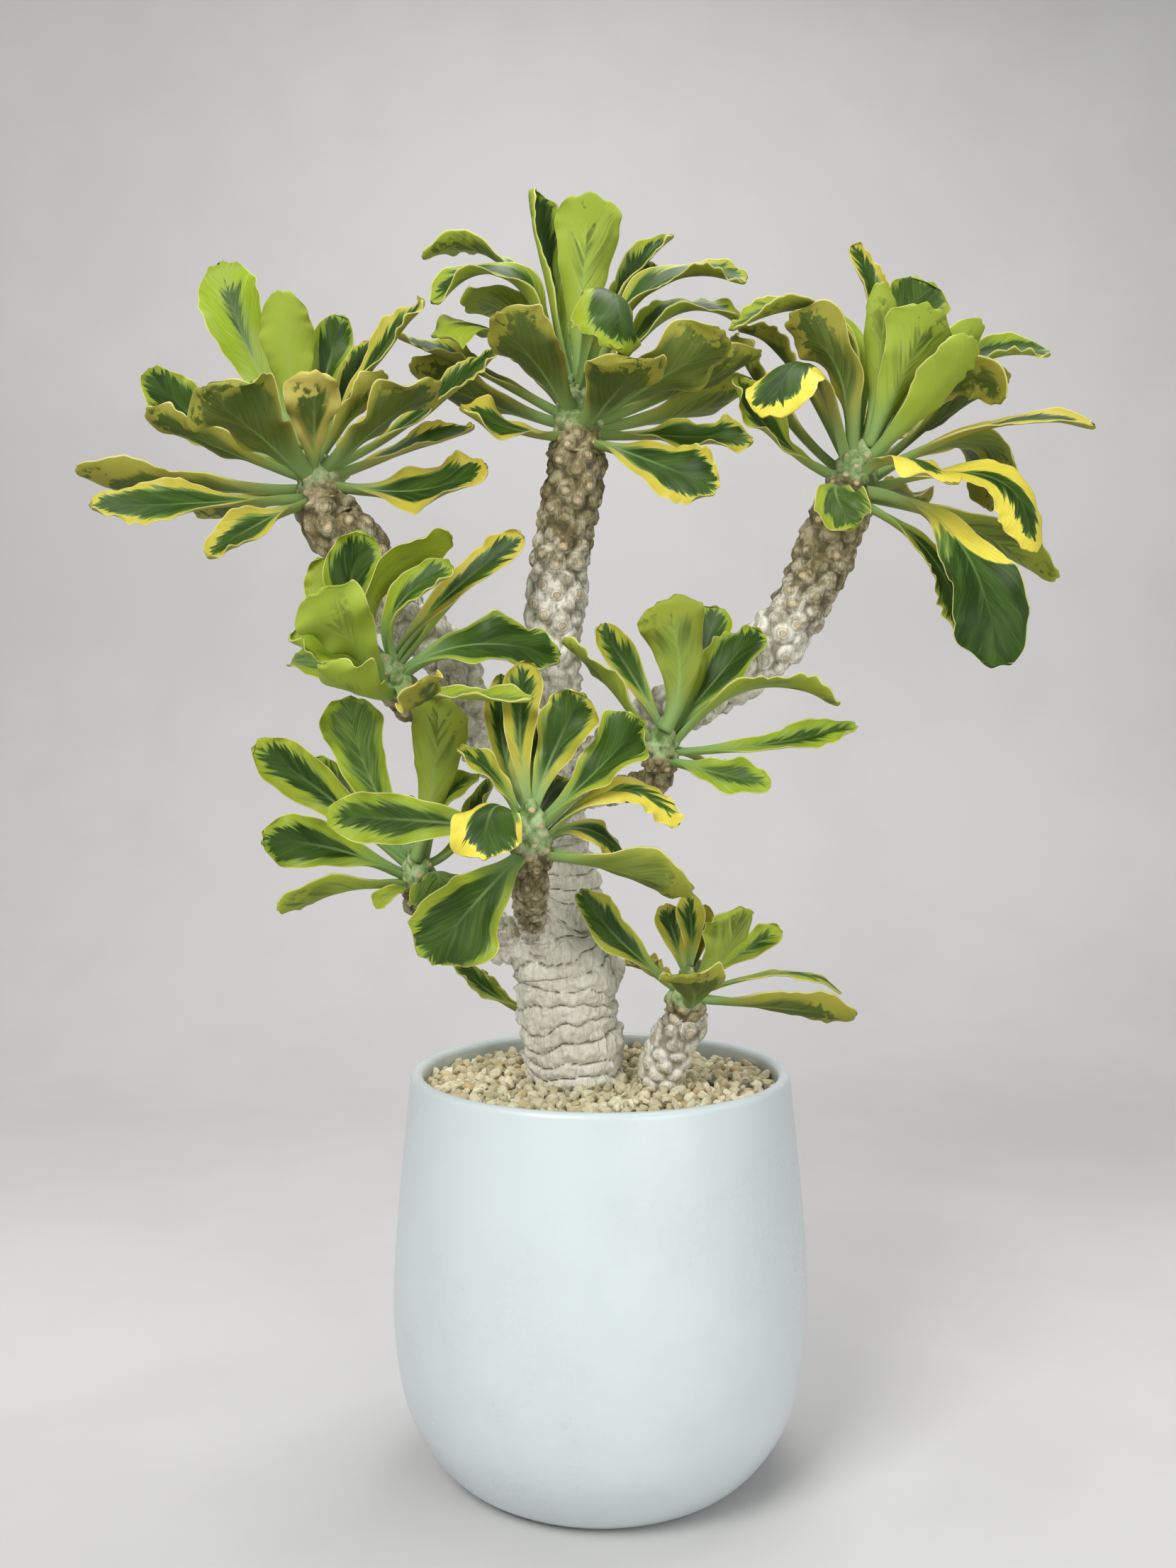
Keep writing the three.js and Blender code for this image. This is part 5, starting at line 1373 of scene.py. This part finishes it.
def margin_crimps(s, u, length, pick):
    """Fine crimps, whose height in mm grows as the fourth power of u and doubles towards the end, and the
    scallops that they leave in the outline, as a factor on the width. The two margins crimp out of step."""
    crimps = length / pick.uniform(*CRIMP_LENGTHS)
    phase = np.where(u < 0, *pick.uniform(0, 1, 2))
    size = pick.uniform(*CRIMP_HEIGHTS) * smooth_step(0.4, 0.6, s) * (0.6 + 0.4 * np.sin(5 * s + 7 * phase))
    turn = 2 * np.pi * (crimps * (s + 0.012 * np.sin(31 * s)) + phase)
    height = np.abs(u) ** 4 * size * blend(1.0, 2.2, smooth_step(0.6, 1, s)) * np.sin(turn)
    scallops = 1 + 0.035 * np.sin(1.7 + 0.53 * turn) * smooth_step(0.4, 0.6, s)
    return height, scallops


def end_curl(s, u, half, pick):
    """How far the end curls down (or up, below 0) in mm, which grows as the square of the way to the end."""
    return pick.uniform(-0.2, 0.35) * half * smooth_step(0.75, 1, s) ** 2 * (0.6 + 0.4 * u * u)


def end_setback(s, u, half, pick):
    """How far the end's outline is set back in mm: rounded at the corners, with slow lobes and a notch."""
    corners = 0.29 * half * u * u * smooth_step(0.85, 1, s)
    lobes = 0.1 * np.sin(pick.uniform(5, 8) * u + pick.uniform(0, 6)) * half * smooth_step(0.88, 1, s)
    depth = pick.uniform(0, 0.15) * half
    notch = depth * np.exp(-((u - pick.uniform(-0.2, 0.2)) / 0.2) ** 2) * smooth_step(0.93, 1, s)
    return corners + lobes + notch


print("leaf outline ready")

# %% Leaf surfaces
LEAF_ROWS = 50
LEAF_COLUMNS = 17
STALK_THICKNESS = 5.6
BLADE_THICKNESS = 2.4
EDGE_THICKNESS = 0.9
FULL_WIDTH = 36
CLOSING_SHARE = 0.015


def blade_thickness(s, u, half, width, groove):
    """Thickness in mm: from stalk to blade, thin at the margin, less the groove of the middle line, plus the
    keel below it, and closed round at the margins and over the last CLOSING_SHARE of the length."""
    middle = blend(STALK_THICKNESS, BLADE_THICKNESS, smooth_step(0.05, 0.5, s)) * np.sqrt(width / FULL_WIDTH)
    keel = np.exp(-(half * u / 2.2) ** 2) * 0.7 * smooth_step(0.15, 0.4, s) * smooth_step(1.0, 0.7, s)
    past = ((s - 1 + CLOSING_SHARE) / CLOSING_SHARE).clip(0, 1)
    closing = np.sqrt(np.clip(1 - past ** 2, 0.05, 1))
    margin = np.sqrt(1 - np.abs(u) ** 14)
    return (blend(middle, EDGE_THICKNESS, u * u) - groove + keel) * margin * closing


def around(upper, lower):
    """A row of points round the leaf: across the upper face, and back below it between the two margins."""
    return np.concatenate([upper, lower[:, -2:0:-1]], 1)


def leaf_rings(rosette, row, draw, pick):
    """Rings of points round a leaf, from its root to its end, and what its material reads at each. Upper
    face: middle line + an arc across it by the fold angle + margin waves that grow as u squared. Lower face:
    the upper one less the thickness, along the normal of the arc."""
    width, fold, widest = row[3], row[4], row[7]
    bend = np.radians(fold if abs(fold) > 1 else 1)
    waves = 1.6 + 1.4 * next(draw)
    left = next(draw)
    right = next(draw)
    wave_height = WAVE_HEIGHT * (0.6 + 0.8 * next(draw))

    # The grid of s and u, and the middle line's frame at each s
    part, *bow, length = leaf_line(rosette, row)
    s = 1 - (1 - np.linspace(0, 1, LEAF_ROWS)) ** 1.5
    spot, face, sideways = (np.stack([np.interp(s, part, v[:, i]) for i in range(3)], -1) for v in bow)
    spot, face, sideways = spot[:, None], unit(face)[:, None], unit(sideways)[:, None]
    forward = np.cross(face, sideways)
    s = s[:, None]
    u = -np.cos(np.linspace(0, np.pi, LEAF_COLUMNS))[None]
    half = half_width(s, width, widest)

    # Upper face
    phase = np.where(u < 0, left, right)
    ripple = u * u * half * wave_height * smooth_step(0.25, 0.5, s) * np.sin(2 * np.pi * (waves * s + phase))
    crimp, scallops = margin_crimps(s, u, length, pick)
    curl = end_curl(s, u, half, pick)
    setback = end_setback(s, u, half, pick)
    arc = bend * u
    groove = np.exp(-(half * u / 2.0) ** 2) * blend(0.25, 0.75, smooth_step(0.1, 0.4, s))
    groove = groove * smooth_step(1.0, 0.6, s)
    offset_across = half * scallops * np.sin(arc) / bend
    offset_up = half * (1 - np.cos(arc)) / bend + ripple + crimp - curl - groove
    top = spot + sideways * offset_across[..., None] + face * offset_up[..., None]
    top = top - forward * setback[..., None]

    # Lower face
    inward = np.sin(arc)[..., None] * sideways - np.cos(arc)[..., None] * face
    bottom = top + inward * blade_thickness(s, u, half, width, groove)[..., None]

    # Values for the material: "blade" in mm, and "edge" as s, 1 on the upper face, and the leaf's own number
    to_margin = np.minimum(half * (1 - np.abs(u)), 0.6 * length * (1.0 - s) + 0.3 * half * (1 - u * u))
    blade = np.stack(np.broadcast_arrays(half * u, length * s, to_margin), -1)
    edge = np.stack(np.broadcast_arrays(s, np.ones_like(u), pick.uniform(0, 1)), -1)
    return around(top, bottom), around(blade, blade), around(edge, edge * [1, 0, 1]), around(u, u)


print("leaf grid:", LEAF_ROWS, "by", LEAF_COLUMNS, "points a side")

# %% Kinds of leaf
# How wide the border is in mm, how golden it is (0 lime) and how dark the middle is. "lean" says how much
# wider the border is on one side, and "bare_end" that the end has none. LOOKS gives each rosette's leaves, in
# the order of the table, as letters.
LEAF_KINDS = {
    "L": {"border": 17, "golden": 0.05, "dark": 0.3},
    "l": {"border": 4.8, "golden": 0.12, "dark": 0.55},
    "b": {"border": 12, "golden": 0.15, "dark": 0.95},
    "q": {"border": 8, "golden": 0.0, "dark": 0.5},
    "p": {"border": 5, "golden": 0.12, "dark": 0.1},
    "g": {"border": 3.4, "golden": 0.25, "dark": 0.95},
    "m": {"border": 4, "golden": 0.3, "dark": 0.3},
    "n": {"border": 4.0, "golden": 0.42, "dark": 0.7},
    "o": {"border": 3.4, "golden": 0.6, "dark": 0.5},
    "w": {"border": 5, "golden": 0.75, "dark": 0.8},
    "W": {"border": 10.5, "golden": 1.0, "dark": 0.8},
    "h": {"border": 9, "golden": 0.9, "dark": 0.5},
    "e": {"border": 7, "golden": 0.95, "dark": 0.95, "lean": 0.7},
    "D": {"border": 11, "golden": 1.0, "dark": 1.0, "lean": -1.0, "bare_end": 1},
}
LOOKS = {
    "rosette_top_left": "LLlgwohohonowwwwwoooo",
    "rosette_top_centre": "qlbglbgonowoonnnwggggooo",
    "rosette_top_right": "qqLlwqlwwwnwWWlbwWllnDnoooo",
    "rosette_mid_left": "LlLLLLlwlgwpp",
    "rosette_mid_right": "lnmllpllo",
    "rosette_front": "nnlewmennllno",
    "rosette_low_left": "lplllpplllo",
    "rosette_side_plant": "nnnnplnonoo",
    "rosette_basal_shoot": "ggoo",
}
# A border of this width lies beyond every leaf's margin, so none shows
NO_BORDER = -15
print("kinds of leaf:", "".join(LEAF_KINDS))

# %% Rosettes
LEAF_SEED = 900
TIP_SEED = 61
TIP_CUSHION = 9.5
TIP_CUSHION_DEPTH = 4.0
# The material knows the growing tip by an "edge" value of -1 or less, which falls to -2 at its top
TIP_EDGE = [-1, 0, 0.5]


def leaf_tone(look, s, u, pick):
    """Border width, goldenness and darkness at each point: the kind's own, each a little off by a draw."""
    border = look["border"] * pick.uniform(0.75, 1.3) * (1 + look.get("lean", pick.uniform(-0.4, 0.4)) * u)
    border = blend(border, NO_BORDER, look.get("bare_end", 0) * smooth_step(0.5, 0.75, s))
    golden = np.clip(look["golden"] + pick.uniform(-0.12, 0.12), 0, 1)
    dark = np.clip(look["dark"] + pick.uniform(-0.15, 0.15), 0, 1)
    return np.stack(np.broadcast_arrays(border, golden, dark), -1)


def add_tip(skin, rosette, seed):
    """The growing tip: a short stem that narrows upwards, with small green cushions."""
    shape = rosette["tip"]
    heights = np.array([-shape["below"], -shape["below"] / 3, shape["above"] / 3, shape["above"]])
    points = seen(rosette["at"]) + heights[:, None] * growth_of(rosette)
    low, high = shape["radius"], shape["top"]
    radii = [low, blend(low, high, 0.25), blend(low, high, 0.7), 0.35 * high]
    line, radius, reached = tube_line(points, radii, STEP_ALONG)
    unworn = np.zeros(len(line))
    rings, bark = knobbly_rings(line, radius, reached, TIP_CUSHION, TIP_CUSHION_DEPTH, seed, unworn)
    height = np.linspace(0, 1, len(line))[:, None, None]
    skin.add(rings, blade=np.zeros(rings.shape), edge=TIP_EDGE - height * [1, 0, 0], tone=bark)


def make_rosette(number, name, rosette):
    """All leaves of a rosette in one mesh, on the growing tip."""
    skin = Skin()
    draw = drawer(rosette["seed"])
    pick = np.random.default_rng(LEAF_SEED + number)
    for row, letter in zip(rosette["leaves"], LOOKS[name], strict=True):
        rings, blade, edge, u = leaf_rings(rosette, row, draw, pick)
        skin.add(rings, blade=blade, edge=edge, tone=leaf_tone(LEAF_KINDS[letter], edge[..., 0], u, pick))
    add_tip(skin, rosette, TIP_SEED + number)
    return skin.build(name + "_leaves")


rosettes = []
for number, (name, rosette) in enumerate(ROSETTES.items()):
    piece = make_rosette(number, name, rosette)
    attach(piece, "root")
    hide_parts(name)
    rosettes.append(piece)

# %% [markdown]
# ### Leaf colour
# Variegation follows the growth of the leaf: a deep green middle, a paler green between, and a border of lime
# or golden yellow with a hair of cream at the very margin. Along the sides the border's edge is nearly
# smooth, because the veins run beside it. Near the end the veins run across it and drag it into jagged
# flames. So the pattern is drawn in the leaf's own measures: distance from the middle line, distance along it
# and distance to the margin, and a noise that is stretched along the side veins moves its edge. The underside
# has the same pattern in duller colours, with a softer edge.

# %% Group: flames along the side veins
VEIN_SLOPE = 2.1
SEED_SPREAD = 91.0
SIDE_SHIFT = 3.7


def make_flames():
    """Mask = noise in vein coordinates: across the veins it changes every Across mm, along them every Length
    mm. Each leaf, and each half of it, has its own noise."""
    inputs = {"Blade": "Vector", "Seed": "Float", "Across": "Float", "Length": "Float"}
    group, given, out = node_group("vein_flames", inputs, {"Mask": "Float"})
    across, along, _ = parts_of(group, given["Blade"])
    out_from_middle = maths(group, "ABSOLUTE", across)
    vein = maths(group, "SUBTRACT", along, times(group, out_from_middle, VEIN_SLOPE))
    side = times(group, maths(group, "SIGN", across), SIDE_SHIFT)
    seed = maths(group, "ADD", times(group, given["Seed"], SEED_SPREAD), side)
    place = node(group, "ShaderNodeCombineXYZ", {
        "X": maths(group, "DIVIDE", vein, given["Across"]),
        "Y": maths(group, "DIVIDE", out_from_middle, given["Length"]),
        "Z": seed,
    }).outputs[0]
    group.links.new(noise(group, place, 1.0, 2, 0.6), out["Mask"])
    return group


FLAMES = make_flames()


def flames(tree, blade, seed, across, length):
    """The flames' noise about zero, from -0.5 to 0.5."""
    mask = grouped(tree, FLAMES, {"Blade": blade, "Seed": seed, "Across": across, "Length": length})["Mask"]
    return maths(tree, "SUBTRACT", mask, 0.5)


print("flames group made")

# %% Leaf material: what it reads
leaf, tree, shader = new_material("variegated_leaf")
place = object_place(tree)
blade = attribute(tree, "blade")
middle, along, to_margin = parts_of(tree, blade)
part, is_upper, seed = parts_of(tree, attribute(tree, "edge"))
border, golden, dark = parts_of(tree, attribute(tree, "tone"))
from_middle = maths(tree, "ABSOLUTE", middle)
coarse = flames(tree, blade, seed, 6.0, 22.0)
medium = flames(tree, blade, plus(tree, seed, 0.31), 2.8, 12.0)
fine = flames(tree, blade, plus(tree, seed, 0.57), 1.2, 7.0)
slow = flames(tree, blade, plus(tree, seed, 0.77), 26.0, 24.0)
print("leaf values ready")

# %% [markdown]
# The border's edge lies where the distance to the margin, moved by the flames, equals the border's width. The
# flames move it most near the end, where jag is large. The deep green starts further in, by another such
# rule.

# %% Leaf material: where each colour lies
jag = times(tree, ramp(tree, part, 0.4, 0.95, 0.14, 0.8), ramp(tree, is_upper, 0.0, 1.0, 0.5, 1.0))
shift = plus(tree, plus(tree, times(tree, coarse, 15.0), medium, 8.0), fine, 3.0)
reach = plus(tree, plus(tree, to_margin, shift, jag), slow, 12.0)
cloud = mottled(tree, place, 55.0)
blotch = times(tree, ramp(tree, cloud, 0.2, 0.8, 1.0, 15.0), ramp(tree, part, 0.6, 1.0))
blotch = times(tree, blotch, ramp(tree, is_upper, 1.0, 0.0, 0.0, -1.0))
inside = plus(tree, maths(tree, "SUBTRACT", reach, border), blotch)
softness = plus(tree, ramp(tree, golden, 0.25, 0.6, 3.0, 0.5), ramp(tree, is_upper, 1.0, 0.0, 0.0, 2.0))
in_pale = ramp(tree, inside, times(tree, softness, -1.0), softness)
deep_shift = times(tree, plus(tree, times(tree, coarse, 8.0), medium, 7.0), jag)
deep_reach = plus(tree, maths(tree, "ADD", inside, deep_shift), slow, -6.0)
in_deep = times(tree, ramp(tree, deep_reach, 0.2, 2.2), ramp(tree, dark, 0.0, 0.6, 0.1, 1.0))
vein_place = plus(tree, plus(tree, along, from_middle, -VEIN_SLOPE), coarse, 7.0)
vein_wave = maths(tree, "PINGPONG", maths(tree, "DIVIDE", vein_place, 6.1), 0.5)
vein_line = times(tree, ramp(tree, vein_wave, 0.4, 0.5), ramp(tree, medium, 0.0, 0.16))
print("leaf pattern ready")

# %% Leaf material: upper face
lime_to_gold = mixed(tree, ramp(tree, golden, 0.0, 0.7), colour("8fa528"), colour("b7a93e"))
is_bright = ramp(tree, golden, 0.75, 0.95)
yellow = mixed(tree, is_bright, lime_to_gold, colour("ded04c"))
yellow_streak = mixed(tree, golden, colour("6c862a"), colour("c2b03a"))
yellow = mixed(tree, ramp(tree, fine, -0.1, 0.2, 0.0, 0.5), yellow, yellow_streak)
yellow = mixed(tree, times(tree, vein_line, 0.45), yellow, colour("d6d268"))
pale_green = mixed(tree, ramp(tree, medium, -0.15, 0.15), colour("4c6a2a"), colour("7f9849"))
deep_green = mixed(tree, ramp(tree, slow, -0.2, 0.2), colour("22380f"), colour("3b5519"))
deep_green = mixed(tree, ramp(tree, medium, 0.02, 0.2, 0.0, 0.35), deep_green, colour("557236"))
upper_color = mixed(tree, in_deep, mixed(tree, in_pale, yellow, pale_green), deep_green)
print("upper face ready")

# %% Leaf material: underside
under_green = mixed(tree, ramp(tree, golden, 0.0, 0.6), colour("a0b447"), colour("4f5c22"))
under_green = mixed(tree, ramp(tree, coarse, -0.2, 0.25, 0.0, 0.3), under_green, colour("788544"))
streak = times(tree, ramp(tree, medium, 0.02, -0.14), ramp(tree, dark, 0.0, 0.8, 0.1, 0.6))
under_green = mixed(tree, streak, under_green, colour("37451a"))
patch = ramp(tree, plus(tree, slow, coarse, 0.6), -0.08, 0.1, 0.0, 0.75)
under_green = mixed(tree, times(tree, patch, ramp(tree, part, 0.5, 0.8)), under_green, colour("45561f"))
under_yellow = mixed(tree, ramp(tree, golden, 0.0, 0.6), colour("94a638"), colour("8e8b34"))
under_yellow = mixed(tree, is_bright, under_yellow, colour("b8ab55"))
under_color = mixed(tree, in_pale, under_yellow, under_green)
print("underside ready")

# %% Leaf material: middle rib, stalk and margin
color = mixed(tree, is_upper, under_color, upper_color)
rib = times(tree, ramp(tree, from_middle, 1.2, 0.3, 0.0, 0.5), ramp(tree, part, 0.9, 0.3))
color = mixed(tree, rib, color, colour("8dab62"))
stalk = ramp(tree, plus(tree, part, medium, 0.15), 0.45, 0.08, 0.0, 0.9)
color = mixed(tree, stalk, color, mixed(tree, is_upper, colour("7d9a5a"), colour("80a064")))
rim = times(tree, ramp(tree, to_margin, 0.8, 0.4, 0.0, 0.75), ramp(tree, part, 0.25, 0.45))
color = mixed(tree, rim, color, colour("d8cf85"))
print("whole leaf coloured")

# %% Leaf material: the growing tip, gloss and relief
is_tip = maths(tree, "LESS_THAN", part, -0.5)
green = ramp(tree, plus(tree, maths(tree, "ABSOLUTE", part), slow, 0.3), 1.22, 1.42)
given = {"Place": place, "Bark": attribute(tree, "tone"), "Age": 0.0, "Green": green}
tip = grouped(tree, CUSHION_COLOURS, given)
color = mixed(tree, is_tip, color, tip["Color"])
rough = plus(tree, ramp(tree, is_upper, 0.0, 1.0, 0.55, 0.42), is_tip, 0.3)
veins = plus(tree, plus(tree, times(tree, medium, 0.3), coarse, 0.4), vein_line, 0.1)
relief = plus(tree, veins, times(tree, tip["Height"], is_tip), 1.2)
shade(tree, shader, color, rough, bump(tree, relief, 0.0006, 0.6), Specular_IOR_Level=0.15)
for piece in rosettes:
    piece.data.materials.append(leaf)
print("leaf colour ready")
